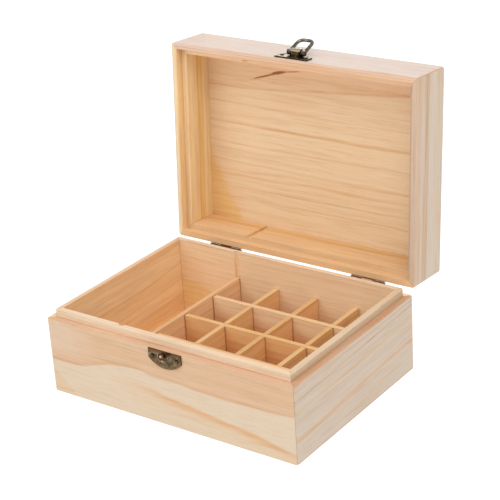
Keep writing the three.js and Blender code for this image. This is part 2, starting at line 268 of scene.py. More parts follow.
@dataclass(frozen=True)
class LidTurn:
    """How the lid stands open: a turn about the hinge line, which the CAD frame has too.

    Attributes:
        axis_y: How far back the hinge line is.
        axis_z: How high it is.
        angle: How far the lid is open.
    """

    axis_y: float = 83.0
    axis_z: float = 61.85
    angle: float = math.radians(93.8)

    def opened(self) -> Matrix:
        """The matrix that opens the closed lid, in metres."""
        pivot = Matrix.Translation((0, self.axis_y * MM, self.axis_z * MM))
        return pivot @ Matrix.Rotation(-self.angle, 4, "X") @ pivot.inverted()

    def shift(self) -> Point:
        """What is added in millimetres after the turn that closes an open point."""
        pivot = Vector((0, self.axis_y, self.axis_z))
        return tuple(pivot - Matrix.Rotation(self.angle, 3, "X") @ pivot)


LID = LidTurn()


# Wood


class Grain(Enum):
    """How a board's grain lies: the axes along it, across its face and through it."""

    ALONG_X = (0, 2, 1)
    ALONG_Y = (1, 2, 0)
    FLAT = (0, 1, 2)


@dataclass(frozen=True)
class Spot:
    """A place on a board, as its grain runs.

    Attributes:
        paint: The board's material.
        along: The place along the board.
        across: The place across its face.
        depth: The place through it.
    """

    paint: Paint
    along: Signal
    across: Signal
    depth: Signal


@dataclass(frozen=True)
class Figure:
    """Noise drawn out along a board's grain, and how it tints the wood.

    Attributes:
        cells: The size of its cells along the board, across it and through it.
        drift: How far along the log each seed moves it.
        detail: How many finer layers it has.
        roughness: How strong these layers are.
        colour: What it multiplies the wood's colour by.
        span: Between which of its values the tint sets in.
        share: How strong the tint is.
    """

    cells: Point
    drift: float = 1.0
    detail: float = 1.0
    roughness: float = 0.5
    colour: Colour = (1.0, 1.0, 1.0)
    span: tuple[float, float] = (0.0, 1.0)
    share: float = 0.0

    def noise(self, spot: Spot, seed: float) -> Signal:
        """Makes the noise.

        Args:
            spot: The place on the board.
            seed: Where in the log the board was.

        Returns:
            The noise, about 0.5.
        """
        length, width, thickness = self.cells
        along = spot.along / length + seed * self.drift
        place = spot.paint.vector(along, spot.across / width, spot.depth / thickness)
        return spot.paint.noise(place, detail=self.detail, roughness=self.roughness)

    def stain(self, colour: Signal, noise: Signal) -> Signal:
        """Tints a colour by the noise."""
        return colour.paint.tint(colour, self.colour, colour.paint.step(noise, *self.span) * self.share)


SWEEP = Figure((95.0, 26.0, 40.0))
WAVE = Figure((48.0, 7.0, 12.0), drift=2.0, detail=2.0)
PATCH = Figure((60.0, 14.0, 30.0), drift=3.0, detail=2.0, span=(0.42, 0.72))
STREAK = Figure((62.0, 2.5, 2.5), 1.0, 3.0, 0.6, tone(222, 190, 156), (0.46, 0.72), 0.27)
FIBRE = Figure((21.0, 1 / 1.7, 1 / 1.7), 1.0, 3.0, 0.6, tone(230, 210, 190), (0.42, 0.78), 0.36)
PORE = Figure((4.5, 1 / 2.6, 1 / 2.6), 1.0, 1.0, 0.5, tone(205, 170, 140), (0.62, 0.8), 0.24)

# Further than any board is wide
AREA = 500.0


@dataclass(frozen=True)
class GrainLine:
    """A line, band or area that follows the grain: darker or paler wood, and on two lid boards painted light.

    Attributes:
        path: Places along the board and across it, or the height of a level line.
        colour: Its colour.
        above: How far it fades out above its path, or AREA if it goes on to the board's edge.
        below: The same below its path.
        share: How strong it is.
        reach: Where along the board it starts and ends.
        taper: How gently it starts and ends.
        through: Whether the path is measured through the board rather than across its face.
        skin: Depths between which it fades away towards the outer face.
    """

    path: Path | float
    colour: Colour
    above: float = 1.5
    below: float = 1.5
    share: float = 1.0
    reach: tuple[float, float] | None = None
    taper: float = 12.0
    through: bool = False
    skin: tuple[float, float] | None = None

    def mask(self, spot: Spot) -> Signal:
        """Says where the line lies.

        Args:
            spot: The place on the board.

        Returns:
            How strong it is there, 0 to 1.
        """
        step = spot.paint.step
        height = spot.paint.course(spot.along, self.path) if isinstance(self.path, tuple) else self.path
        off = (spot.depth if self.through else spot.across) - height
        cover = step(off, 0.0, self.above, self.share, 0.0) if self.above < AREA else None
        if self.below < AREA:
            cover = step(off, -self.below, 0.0) * (self.share if cover is None else cover)
        if self.reach:
            start, end = self.reach
            cover = cover * step(spot.along, start, start + self.taper)
            cover = cover * step(spot.along, end - self.taper, end, 1.0, 0.0)
        return cover * step(spot.depth, *self.skin, 1.0, 0.0) if self.skin else cover


@dataclass(frozen=True)
class Knot:
    """A dark, resinous streak where a small branch was.

    Attributes:
        centre: Its place along and across the board.
        slope: How it leans.
        length: Half its length.
        width: Half its width.
        ragged: How ragged its rim is.
        layers: The colour, span and share of its halo and its core.
    """

    centre: tuple[float, float]
    slope: float
    length: float
    width: float
    ragged: float = 0.9
    layers: tuple[tuple[Colour, tuple[float, float], float], ...] = (
        (tone(200, 140, 94), (0.0, 0.5), 0.7),
        (tone(148, 86, 46), (0.35, 0.95), 0.9),
    )

    def lay(self, colour: Signal, spot: Spot, rough: Signal) -> Signal:
        """Lays the knot over the wood.

        Args:
            colour: The wood so far.
            spot: The place on the board.
            rough: The noise that makes its rim ragged.

        Returns:
            The wood with the knot.
        """
        paint = spot.paint
        x = spot.along - self.centre[0]
        y = spot.across - self.centre[1] - x * self.slope
        far = (x / self.length) ** 2.0 + (y / self.width) ** 2.0
        heart = paint.step(far + (rough - 0.5) * self.ragged, 0.1, 1.0, 1.0, 0.0)
        for layer, span, share in self.layers:
            colour = paint.mix(colour, layer, paint.step(heart, *span) * share)
        return colour


@dataclass(frozen=True)
class Pine:
    """One board's own cut of pine.

    Attributes:
        name: The material's name.
        grain: How the grain lies.
        early: The colour between the rings.
        late: The colour of the rings' lines.
        pitch: How far apart the rings are.
        uneven: How many pitches they drift together and apart, and over what length.
        rise: Between which shares of its pitch a ring darkens.
        rings: How strong they are.
        slant: How far the rings shift for each millimetre of depth.
        wander: How far they bend.
        ripple: How far they waver.
        patch: The colour of broad, soft patches.
        patches: How strong these are.
        seed: Where in the log the board was.
        lines: Its own lines and bands.
        stray: How far these waver.
        breaks: Between which values of the streaks these fade, and what is left of them.
        knots: Its knots.
        heart: Depths between which the wood turns to another colour, and that colour.
        heart_share: How strong this colour is.
        in_lid: Whether the board turns with the lid.
        dull: How dull it is between its fibres and on them.
        gloss: How strongly it reflects.
        bump: How strong its fibres' bumps are, and how deep.
    """

    name: str
    grain: Grain
    early: Colour
    late: Colour
    pitch: float = 7.0
    uneven: tuple[float, float] = (3.0, 23.0)
    rise: tuple[float, float] = (0.25, 0.88)
    rings: float = 0.35
    slant: float = 0.35
    wander: float = 5.0
    ripple: float = 1.6
    patch: Colour = tone(214, 176, 140)
    patches: float = 0.35
    seed: float = 0.0
    lines: tuple[GrainLine, ...] = ()
    stray: float = 2.2
    breaks: tuple[float, float, float] = (0.3, 0.58, 0.62)
    knots: tuple[Knot, ...] = ()
    heart: tuple[float, float, Colour] | None = None
    heart_share: float = 0.75
    in_lid: bool = False
    dull: tuple[float, float] = (0.5, 0.66)
    gloss: float = 0.32
    bump: tuple[float, float] = (0.22, 0.2 * MM)

    def material(self) -> bpy.types.Material:
        """Builds the board's material.

        Returns:
            The material.
        """
        paint = Paint(self.name)
        xyz = paint.place(LID.angle, LID.shift()) if self.in_lid else paint.place()
        spot = Spot(paint, *(xyz[axis] for axis in self.grain.value))
        sweep, wave = (figure.noise(spot, self.seed) for figure in (SWEEP, WAVE))
        bend = (sweep - 0.5) * self.wander + (wave - 0.5) * self.ripple
        bent = replace(spot, across=spot.across + spot.depth * self.slant + bend)
        figures = (PATCH, STREAK, FIBRE, PORE)
        patch, streak, fibre, pore = (figure.noise(bent, self.seed) for figure in figures)
        colour = self._rings(bent, wave)
        colour = paint.mix(colour, self.patch, paint.step(patch, *PATCH.span) * self.patches)
        if self.heart:
            start, end, deep = self.heart
            colour = paint.mix(colour, deep, paint.step(spot.depth, start, end) * self.heart_share)
        colour = self._lines(colour, replace(spot, across=spot.across + (wave - 0.5) * self.stray), streak)
        for figure, noise in ((STREAK, streak), (FIBRE, fibre), (PORE, pore)):
            colour = figure.stain(colour, noise)
        colour = self._paint_shade(colour, spot)
        for knot in self.knots:
            colour = knot.lay(colour, spot, pore)
        dull = paint.step(fibre, 0.2, 0.8, *self.dull)
        bump = (*self.bump, fibre * 0.7 + pore * 0.3)
        return paint.finish(bump, Base_Color=colour, Roughness=dull, Specular_IOR_Level=self.gloss)

    def _rings(self, spot: Spot, wave: Signal) -> Signal:
        """Lays the growth rings: each darkens slowly and ends in a sharp line.

        Args:
            spot: The place on the board, bent as the rings are.
            wave: The noise that makes them stronger and weaker along the board.

        Returns:
            The wood with its rings.
        """
        paint, course = spot.paint, spot.across
        drift, length = self.uneven
        uneven = paint.noise(paint.vector(course / length + self.seed, self.seed, 0.0), detail=1.0)
        share = paint.math("FRACT", course / self.pitch + uneven * drift)
        line = paint.step(share, *self.rise) * paint.step(share, self.rise[1], 1.0, 1.0, 0.0)
        strong = paint.noise(paint.vector(course / 9.0, self.seed + 7.0, 0.0), detail=0.0)
        strength = paint.step(strong, 0.3, 0.7) * 0.8 + 0.2
        return paint.mix(self.early, self.late, line * strength * (wave * 0.6 + 0.7) * self.rings)

    def _lines(self, colour: Signal, spot: Spot, streak: Signal) -> Signal:
        """Lays the board's own lines.

        Args:
            colour: The wood so far.
            spot: The place on the board.
            streak: The noise that breaks them up.

        Returns:
            The wood with its lines.
        """
        low, high, left = self.breaks
        broken = spot.paint.step(streak, low, high, left, 1.0)
        for line in self.lines:
            colour = spot.paint.mix(colour, line.colour, line.mask(spot) * broken)
        return colour

    def _paint_shade(self, colour: Signal, spot: Spot) -> Signal:
        """Lays painted shade and other tints on a board in places; there are none on most of them."""
        return colour


FRONT_WALL = Pine(
    "pine_front_wall", Grain.ALONG_X, early=tone(211, 176, 143), late=tone(207, 168, 131), pitch=9.0,
    rings=0.6, patch=tone(213, 184, 153), patches=0.5, seed=3.1,
    lines=(
        GrainLine(50.0, tone(213, 190, 166), above=22.0, below=30.0, share=0.8, reach=(-150, -58), taper=42),
        GrainLine(60.5, tone(207, 165, 129), above=2.0, below=3.0, share=0.6, reach=(10, 125), taper=40),
        GrainLine(
            (
                (-110, 26.5), (-86, 27.0), (-74, 29.0), (-60, 33.5), (-45, 36.8), (-25, 38.0), (-12, 36.0),
                (5, 36.2), (30, 34.8), (60, 34.2), (85, 34.8), (112, 36.8),
            ),
            tone(214, 196, 172), above=1.6, below=AREA,
        ),
        GrainLine(
            (
                (-110, 28.5), (-86, 28.8), (-74, 30.8), (-60, 35.3), (-45, 38.6), (-25, 39.7), (-12, 37.7),
                (5, 37.9), (30, 36.5), (60, 36.0), (85, 36.6), (112, 38.5),
            ),
            tone(204, 160, 124), above=4.0, below=1.6, share=0.55,
        ),
        GrainLine(
            (
                (-70, 27.5), (-30, 26.5), (0, 22.5), (25, 19.5), (50, 16.5), (72, 13.8), (92, 10.5),
                (112, 6.0),
            ),
            tone(211, 161, 111), above=3.0, below=7.0, share=0.9, reach=(-62, 150), taper=75,
        ),
        GrainLine(
            ((-70, 24), (-40, 19), (0, 16), (40, 11), (75, 6), (112, 0)),
            tone(214, 189, 157), above=8.0, below=9.0, share=0.6, reach=(-60, 150), taper=30,
        ),
        GrainLine(
            ((-112, 19.0), (-101, 13.5), (-90, 3.0), (-82, -9.0)),
            tone(212, 184, 149), above=2.0, below=AREA, share=0.8, reach=(-140, -82), taper=6,
        ),
        GrainLine(60.9, tone(212, 173, 143), above=AREA, below=0.5),
        GrainLine(61.5, tone(247, 217, 184), above=AREA, below=0.4),
        GrainLine(63.4, tone(224, 201, 172), above=AREA, below=1.4),
        GrainLine(66.9, tone(232, 209, 182), above=AREA, below=0.5, share=0.8),
        GrainLine(66.9, tone(230, 199, 166), above=AREA, below=0.5, share=0.8, reach=(-60, 190), taper=70),
    ),
)

RIGHT_WALL = Pine(
    "pine_right_wall", Grain.ALONG_Y, early=tone(202, 186, 169), late=tone(195, 175, 154), pitch=6.5,
    rings=0.75, patch=tone(199, 178, 156), patches=0.5, seed=8.4,
    lines=(
        GrainLine(
            ((-80, 49.0), (-40, 50.2), (0, 51.8), (40, 53.2), (80, 54.6)),
            tone(179, 153, 130), 0.7, 1.5, 0.8,
        ),
        GrainLine(((10, 51.6), (32, 52.6)), tone(152, 125, 106), 0.5, 0.7, 0.75, (12, 28), 6),
        GrainLine(
            ((-80, 40.0), (-20, 40.6), (20, 41.8), (60, 44.0), (80, 45.0)),
            tone(200, 173, 138), 3.2, 2.4, 0.9,
        ),
        GrainLine(
            ((-80, 19.0), (-40, 20.5), (0, 23.0), (40, 25.0), (80, 25.6)),
            tone(204, 170, 137), 2.4, 3.2, 0.9,
        ),
        GrainLine(60.5, tone(201, 169, 138), 2.0, 2.6, 0.7, (-130, 5), 40),
        GrainLine(34.0, tone(191, 171, 154), 1.0, 1.6, 0.6, (-100, 20), 40),
        GrainLine(((-80, 56.0), (-20, 56.6), (40, 58.0), (80, 58.6)), tone(189, 167, 148), 0.8, 1.2, 0.6),
        GrainLine(((-80, 31.0), (-30, 32.0), (30, 35.0), (80, 36.0)), tone(193, 172, 151), 1.0, 1.4, 0.5),
        GrainLine(((-80, 9.0), (-30, 10.0), (30, 13.0), (80, 14.0)), tone(199, 180, 161), 1.2, 2.0, 0.4),
        GrainLine(60.7, tone(200, 156, 120), above=AREA, below=0.7),
        GrainLine(61.9, tone(198, 173, 141), above=AREA, below=0.5),
        GrainLine(66.8, tone(220, 195, 166), above=AREA, below=0.6),
    ),
)

LEFT_WALL = Pine(
    "pine_left_wall", Grain.ALONG_Y, early=tone(246, 212, 164), late=tone(231, 183, 126), pitch=11.0,
    rings=0.42, wander=3.0, seed=5.7,
    lines=(
        GrainLine(((-70, 62.5), (0, 61.5), (70, 65.0)), tone(230, 185, 128), 0.8, 2.2, 0.6),
        GrainLine(66.9, tone(229, 199, 171), above=AREA, below=0.5, share=0.9),
        GrainLine(-102.0, tone(214, 174, 138), 1.4, 1.2, 0.8, through=True),
        GrainLine(((-70, 42.5), (0, 43.0), (70, 47.5)), tone(229, 182, 126), 0.8, 2.6, 0.6),
        GrainLine(((-70, 29.0), (0, 29.5), (70, 34.0)), tone(228, 181, 124), 0.8, 2.6, 0.6),
        GrainLine(((-70, 17.0), (0, 17.5), (70, 21.5)), tone(232, 184, 124), 1.0, AREA, 0.6),
    ),
)

BACK_WALL = Pine(
    "pine_back_wall", Grain.ALONG_X, early=tone(251, 222, 183), late=tone(243, 204, 160), pitch=5.0,
    rings=0.5, patch=tone(248, 211, 169), seed=12.9,
    lines=(
        GrainLine(66.9, tone(222, 195, 167), above=AREA, below=0.5, share=0.9),
        GrainLine(
            ((-100, 34), (-80, 27), (-60, 24), (-40, 22)),
            tone(247, 213, 145), 5.0, AREA, 0.7, (-130, -44), 25, skin=(74, 77),
        ),
        GrainLine(24.0, tone(232, 195, 158), above=12.0, below=AREA, share=0.8, reach=(-60, 150)),
    ),
)

LID_FRONT_WALL = Pine(
    "pine_lid_front_wall", Grain.ALONG_X, early=tone(215, 199, 189), late=tone(210, 188, 173), pitch=4.2,
    rings=0.55, slant=1.3, wander=2.2, patch=tone(212, 190, 176), patches=0.45, seed=1.7,
    heart=(-79.8, -78.9, tone(224, 183, 146)), in_lid=True,
    lines=(
        GrainLine(56.0, tone(224, 201, 184), AREA, 1.0, 0.8, (-170, -10), 110),
        GrainLine(
            ((-106, 100), (-96, 86), (-86, 72), (-76, 58)),
            tone(212, 187, 173), 3.0, AREA, 0.4, (-130, -70), 8,
        ),
        GrainLine(-79.3, tone(208, 172, 146), 0.5, 0.5, 0.8, through=True),
        GrainLine(-77.3, tone(197, 158, 129), 0.45, 0.45, 0.95, through=True),
        GrainLine(-76.0, tone(224, 182, 146), 0.6, 0.6, 0.9, through=True),
        GrainLine(-75.1, tone(198, 152, 117), 0.3, 0.4, 0.85, through=True),
        # Painted light: a paler band over the rebate's recessed face, lifting the shade that falls there.
        GrainLine(-74.8, tone(252, 214, 171), AREA, 0.2, through=True),
    ),
)

LID_PANEL = Pine(
    "pine_lid_panel", Grain.FLAT, early=tone(237, 208, 170), late=tone(229, 193, 149), pitch=10.0, rings=0.3,
    wander=3.0, slant=0.5, patch=tone(235, 199, 156), patches=0.5, seed=6.2, in_lid=True,
    lines=(
        GrainLine(
            ((-101, -41), (-60, -42), (-30, -44), (0, -47), (40, -50.5), (90, -55)),
            tone(232, 195, 155), 3.0, AREA, 0.6,
        ),
        GrainLine(
            ((-101, -41), (-60, -41.5), (-30, -43.5), (0, -46.5), (40, -50), (90, -54.5)),
            tone(223, 173, 129), 1.2, 3.0, 0.7,
        ),
        GrainLine(
            ((-101, -45.5), (-70, -46.5), (-55, -49.5), (-36, -56.5), (-15, -61), (20, -63.5), (90, -66)),
            tone(222, 170, 123), 1.2, 2.6, 0.6, (-97, 60), 30,
        ),
        GrainLine(((-101, -28), (-40, -27.0), (30, -26), (90, -26.5)), tone(225, 181, 134), 0.8, 1.8, 0.55),
        GrainLine(
            ((-101, -11.5), (-40, -11.0), (40, -10.3), (90, -10.8)),
            tone(223, 176, 127), 1.6, 2.6, 0.85,
        ),
        GrainLine(((-101, 5), (-40, 6.2), (40, 5.8), (90, 5.0)), tone(225, 181, 134), 1.0, 1.4, 0.55),
        GrainLine(((-101, 20), (-40, 21.6), (40, 22.2), (90, 22.6)), tone(225, 181, 134), 2.0, 1.6, 0.6),
        GrainLine(
            ((-101, 32), (-40, 32.6), (0, 30.2), (40, 30.6), (90, 29.0)),
            tone(224, 178, 125), 2.4, 2.0, 0.6,
        ),
        GrainLine(((-101, 43), (-40, 42.6), (40, 41.6), (90, 41.0)), tone(223, 177, 129), 0.9, 1.6, 0.7),
        GrainLine(((-101, 52), (-40, 51.8), (40, 50.6), (90, 51.0)), tone(223, 177, 129), 0.9, 1.8, 0.65),
        GrainLine(((-101, 61), (-40, 61.6), (40, 59.6), (90, 60.0)), tone(224, 179, 132), 1.2, 2.2, 0.5),
        GrainLine(
            ((-103, 22), (-92, 40), (-84, 56), (-73, 73)),
            tone(234, 190, 117), AREA, 20.0, 0.8, (-140, -62), 14, skin=(97, 99),
        ),
        GrainLine(-62.0, tone(249, 213, 177), 8.0, AREA, 0.6),
        GrainLine(56.0, tone(242, 214, 175), AREA, 12.0, 0.45, (-74, 150), 10),
    ),
    knots=(
        Knot((-45.0, -53.6), -0.3, 15.0, 0.9),
        Knot((-33.0, -57.6), -0.24, 9.0, 1.7),
        Knot((-20.0, -60.0), -0.14, 10.0, 0.45),
    ),
)

LID_LEFT_WALL = Pine(
    "pine_lid_left_wall", Grain.ALONG_Y, early=tone(242, 215, 166), late=tone(228, 182, 116), pitch=7.0,
    rings=0.6, wander=1.8, slant=0.9, seed=9.3, in_lid=True,
    lines=(
        GrainLine(82.0, tone(232, 188, 114), 6.5, 4.5, 0.85),
        GrainLine(81.0, tone(219, 168, 94), 0.8, 1.2, 0.7),
        GrainLine(91.5, tone(223, 176, 118), 0.8, 1.4, 0.6),
        GrainLine(-109.0, tone(216, 199, 182), 0.8, AREA, 0.9, through=True),
        # Painted highlight: a pale line along the inner edge of the rim.
        GrainLine(-107.9, tone(236, 210, 182), 0.9, 0.9, 0.9, through=True),
        GrainLine(-102.8, tone(231, 191, 150), 2.2, 2.2, 0.85, through=True),
        GrainLine(-105.6, tone(224, 180, 126), 0.7, 1.2, 0.7, through=True),
    ),
)

LID_BACK_WALL = Pine(
    "pine_lid_back_wall", Grain.ALONG_X, early=tone(228, 191, 145), late=tone(218, 173, 121), pitch=8.0,
    rings=0.45, wander=2.5, slant=0.9, seed=14.6, in_lid=True,
    lines=(
        GrainLine(((-101, 86), (-60, 88), (0, 88), (40, 89), (101, 91)), tone(216, 167, 98), 6.0, 4.5, 0.85),
        GrainLine(
            ((-101, 87), (-60, 88.5), (0, 88.4), (40, 89.4), (101, 90.5)),
            tone(204, 151, 90), 0.9, 1.6, 0.6, (-20, 120), 50,
        ),
    ),
)

LID_RIGHT_WALL = Pine(
    "pine_lid_right_wall", Grain.ALONG_Y, early=tone(204, 188, 172), late=tone(194, 172, 148), pitch=12.0,
    rings=0.35, wander=1.6, slant=0.6, seed=17.8, in_lid=True,
    lines=(
        GrainLine(92.0, tone(202, 183, 154), 4.0, 4.0, 0.9),
        GrainLine(77.0, tone(193, 163, 133), 2.6, 8.0, 0.95),
        GrainLine(((-80, 75.0), (-10, 74.0), (10, 72.2), (80, 71.6)), tone(169, 139, 111), 0.9, 1.0, 0.55),
        GrainLine(66.0, tone(202, 172, 144), 4.5, AREA, 0.85),
    ),
)

BOTTOM_PANEL = Pine(
    "pine_bottom_panel", Grain.FLAT, tone(240, 202, 158), tone(226, 178, 128), pitch=9.0, seed=21.4,
)


@dataclass(frozen=True)
class DividerPine(Pine):
    """Thin resawn pine of the dividers, more golden than the walls.

    Attributes:
        crossings: Where along it other boards meet it.
        corner: How dark the painted shade is in its corners there, and how far from a crossing this starts to
            fade and ends.
        corner_shade_colour: The colour of the painted shade in its corners.
        top: The height of its top edge.
        edge: How far below its top the tint of its top edge starts, and how far below it is full.
        crest: What tints its top edge.
        floor_shade: How far painted shade darkens it towards the floor.
        floor_shade_heights: Between which heights this painted shade fades away.
        floor_shade_colour: What tints it there, as painted shade.
    """

    crossings: tuple[float, ...] = ()
    corner: tuple[float, float, float] = (0.42, 2.1, 3.1)
    corner_shade_colour: Colour = tone(140, 84, 46)
    top: float = 44.6
    edge: tuple[float, float] = (0.9, 0.3)
    crest: Colour = tone(236, 230, 224)
    floor_shade: float = 0.9
    floor_shade_heights: tuple[float, float] = (14.0, 40.0)
    floor_shade_colour: Colour = tone(222, 182, 150)
    early: Colour = tone(242, 203, 156)
    late: Colour = tone(226, 172, 116)
    pitch: float = 6.0
    rings: float = 0.6
    wander: float = 4.0
    slant: float = 0.8
    patch: Colour = tone(232, 180, 122)
    patches: float = 0.5

    def _paint_shade(self, colour: Signal, spot: Spot) -> Signal:
        """Paints shade into the corners where the divider meets another board and low down towards the floor,
        and dulls its top edge.

        Args:
            colour: The wood so far.
            spot: The place on the board.

        Returns:
            The darkened wood.
        """
        paint = spot.paint
        side = paint.step(spot.across, *(self.top - low for low in self.edge), 1.0, 0.0)
        # Painted shade in the corners where other boards meet it, kept below its top edge.
        strong, near, far = self.corner
        for crossing in self.crossings:
            corner = paint.step(paint.math("ABSOLUTE", spot.along - crossing), near, far, strong, 0.0)
            colour = paint.mix(colour, self.corner_shade_colour, corner * side)
        # Painted shade that deepens towards the floor.
        floor_shade = paint.step(spot.across, *self.floor_shade_heights, self.floor_shade, 0.0)
        return paint.tint(paint.tint(colour, self.floor_shade_colour, floor_shade), self.crest, 1.0 - side)


# The bench


@contextmanager
def editing(piece: Object, kind: str = "EDGE") -> Iterator[None]:
    """Opens one piece in edit mode with nothing selected, and closes it again.

    Args:
        piece: The piece.
        kind: What is selected: VERT, EDGE or FACE.
    """
    take(piece)
    bpy.ops.object.mode_set(mode="EDIT")
    bpy.ops.mesh.select_mode(type=kind)
    bpy.ops.mesh.select_all(action="DESELECT")
    yield
    bpy.ops.object.mode_set(mode="OBJECT")


def take(piece: Object) -> None:
    """Selects a piece alone and makes it active.

    Args:
        piece: The piece.
    """
    if bpy.context.object and bpy.context.object.mode != "OBJECT":
        bpy.ops.object.mode_set(mode="OBJECT")
    bpy.ops.object.select_all(action="DESELECT")
    piece.select_set(True)
    bpy.context.view_layer.objects.active = piece


def pick(piece: Object, kind: str, test: Callable[..., bool]) -> bool:
    """Selects the parts of a piece in edit mode that pass a test.

    Args:
        piece: The piece being edited.
        kind: Which parts are tested: verts, edges or faces.
        test: Says which of them to select.

    Returns:
        Whether there are any.
    """
    bpy.ops.mesh.select_all(action="DESELECT")
    found = [part for part in getattr(bmesh.from_edit_mesh(piece.data), kind) if test(part)]
    for part in found:
        part.select_set(True)
    bmesh.update_edit_mesh(piece.data)
    return bool(found)


def sharp(edge: bmesh.types.BMEdge, degrees: float = 50.0) -> bool:
    """Whether an outward edge turns by more than an angle."""
    return edge.is_manifold and edge.is_convex and edge.calc_face_angle(0.0) > math.radians(degrees)


def runs(edge: bmesh.types.BMEdge, axis: int) -> float:
    """How far an edge runs along an axis, in millimetres."""
    return abs(edge.verts[0].co[axis] - edge.verts[1].co[axis]) / MM


def lies_before(edge: bmesh.types.BMEdge, front: float) -> bool:
    """Whether an edge lies on a front face or before it, in millimetres along Y."""
    return all(vertex.co.y < (front + 0.01) * MM for vertex in edge.verts)


def ease(piece: Object, offset: float, segments: int, test: Callable[[bmesh.types.BMEdge], bool]) -> None:
    """Rounds the edges of a piece that pass a test.

    Args:
        piece: The piece.
        offset: How far from the edge its rounding starts, in millimetres.
        segments: How many steps the rounding has.
        test: Says which edges to round.
    """
    with editing(piece):
        if pick(piece, "edges", test):
            options = {"profile": 0.5, "affect": "EDGES", "clamp_overlap": False}
            bpy.ops.mesh.bevel(offset=offset * MM, segments=segments, **options)


def apply_modifier(piece: Object, kind: str, **settings: object) -> None:
    """Adds a modifier with its settings and applies it.

    Args:
        piece: The piece.
        kind: The modifier's type.
        settings: Its settings.
    """
    take(piece)
    modifier = piece.modifiers.new(kind.lower(), kind)
    for name, value in settings.items():
        setattr(modifier, name, value)
    bpy.ops.object.modifier_apply(modifier=modifier.name)


def combine(piece: Object, tool: Object, how: str) -> None:
    """Joins a piece with a tool or cuts the tool out of it, and drops the tool."""
    apply_modifier(piece, "BOOLEAN", operation=how, object=tool, solver="EXACT")
    bpy.data.objects.remove(tool)


def smooth(piece: Object, degrees: float = 38.0) -> None:
    """Shades a piece smooth, with its large faces flat.

    Args:
        piece: The piece.
        degrees: Edges that turn by more than this stay sharp.
    """
    take(piece)
    bpy.ops.object.shade_smooth_by_angle(angle=math.radians(degrees))
    apply_modifier(piece, "WEIGHTED_NORMAL", keep_sharp=True, weight=50)


def settle(piece: Object, name: str, matrix: Matrix | None = None) -> Object:
    """Names a piece and works its place into its mesh.

    Args:
        piece: The piece.
        name: Its new name.
        matrix: Moves the piece first, if it is given.

    Returns:
        The piece.
    """
    take(piece)
    if matrix is not None:
        piece.matrix_world = matrix @ piece.matrix_world
    bpy.ops.object.transform_apply(location=True, rotation=True, scale=True)
    piece.name = name
    piece.data.name = name
    return piece


def hang(piece: Object, body: str, slot: str, *nodes: str) -> None:
    """Lets a piece ride on a body in the place of CAD solids, and reports it.

    Args:
        piece: The piece.
        body: What it rides on.
        slot: Not used.
        nodes: The solids that it replaces.
    """
    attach(piece, body)
    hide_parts(*nodes)
    log.info("%s: %d faces on %s, for %s", piece.name, len(piece.data.polygons), body, ", ".join(nodes))


def block(low: Point, high: Point) -> Object:
    """Makes a box between two corners, in millimetres.

    Args:
        low: Its corner with the lowest places.
        high: Its corner with the highest.

    Returns:
        The box.
    """
    middle = [(a + b) / 2 * MM for a, b in zip(low, high)]
    size = [(b - a) * MM for a, b in zip(low, high)]
    bpy.ops.mesh.primitive_cube_add(size=1, location=middle, scale=size)
    return settle(bpy.context.object, "block")


def rod(
    middle: Point, radius: float, length: float, along: str, sides: int = 48, far: float | None = None
) -> Object:
    """Makes a round rod or cone along X or Y, in millimetres.

    Args:
        middle: Its middle.
        radius: Its radius, at its low end for a cone.
        length: Its length.
        along: X or Y.
        sides: How many sides it has.
        far: The radius of a cone's high end.

    Returns:
        The rod.
    """
    turn = (0, math.pi / 2, 0) if along == "X" else (-math.pi / 2, 0, 0)
    place = [value * MM for value in middle]
    ends = {"radius1": radius * MM, "radius2": (radius if far is None else far) * MM}
    bpy.ops.mesh.primitive_cone_add(vertices=sides, depth=length * MM, location=place, rotation=turn, **ends)
    return settle(bpy.context.object, "rod")


def dome(radius: float, foot: float, height: float, step: int) -> list[tuple[float, float]]:
    """The profile of a dome.

    Args:
        radius: Its radius.
        foot: How high its rim is.
        height: How far its crown is above that.
        step: How many degrees there are between its points.

    Returns:
        Radius and height of each point, from its rim to its crown.
    """
    turns = [math.radians(degrees) for degrees in range(0, 90, step)]
    rise = [(radius * math.cos(turn), foot + height * math.sin(turn)) for turn in turns]
    return [*rise, (0.0, foot + height)]


def turned(profile: Sequence[tuple[float, float]], centre: Point, outward: float, steps: int = 40) -> Object:
    """Turns a profile about a line along Y, as on a lathe.

    Args:
        profile: Radius and height of each point, from the axis at the bottom to the axis at the top.
        centre: Where the axis meets height 0.
        outward: 1 if heights count towards +Y, -1 towards -Y.
        steps: How many steps the turn has.

    Returns:
        The turned piece, closed and facing outwards.
    """
    x, y, z = centre
    places = [Vector((x + radius, y + outward * height, z)) * MM for radius, height in profile]
    bpy.ops.mesh.primitive_plane_add(size=MM, location=(0, 0, 0))
    piece = bpy.context.object
    with editing(piece, "VERT"):
        bpy.ops.mesh.select_all(action="SELECT")
        bpy.ops.mesh.merge(type="CENTER")
        bpy.ops.mesh.select_all(action="SELECT")
        bpy.ops.transform.translate(value=places[0])
        for before, after in zip(places, places[1:]):
            bpy.ops.mesh.extrude_vertices_move(TRANSFORM_OT_translate={"value": after - before})
        bpy.ops.mesh.select_all(action="SELECT")
        axis = tuple(value * MM for value in centre)
        bpy.ops.mesh.spin(steps=steps, angle=2 * math.pi, center=axis, axis=(0, 1, 0))
        bpy.ops.mesh.select_all(action="SELECT")
        bpy.ops.mesh.remove_doubles(threshold=0.005 * MM)
        bpy.ops.mesh.normals_make_consistent(inside=False)
    return piece


# The boards


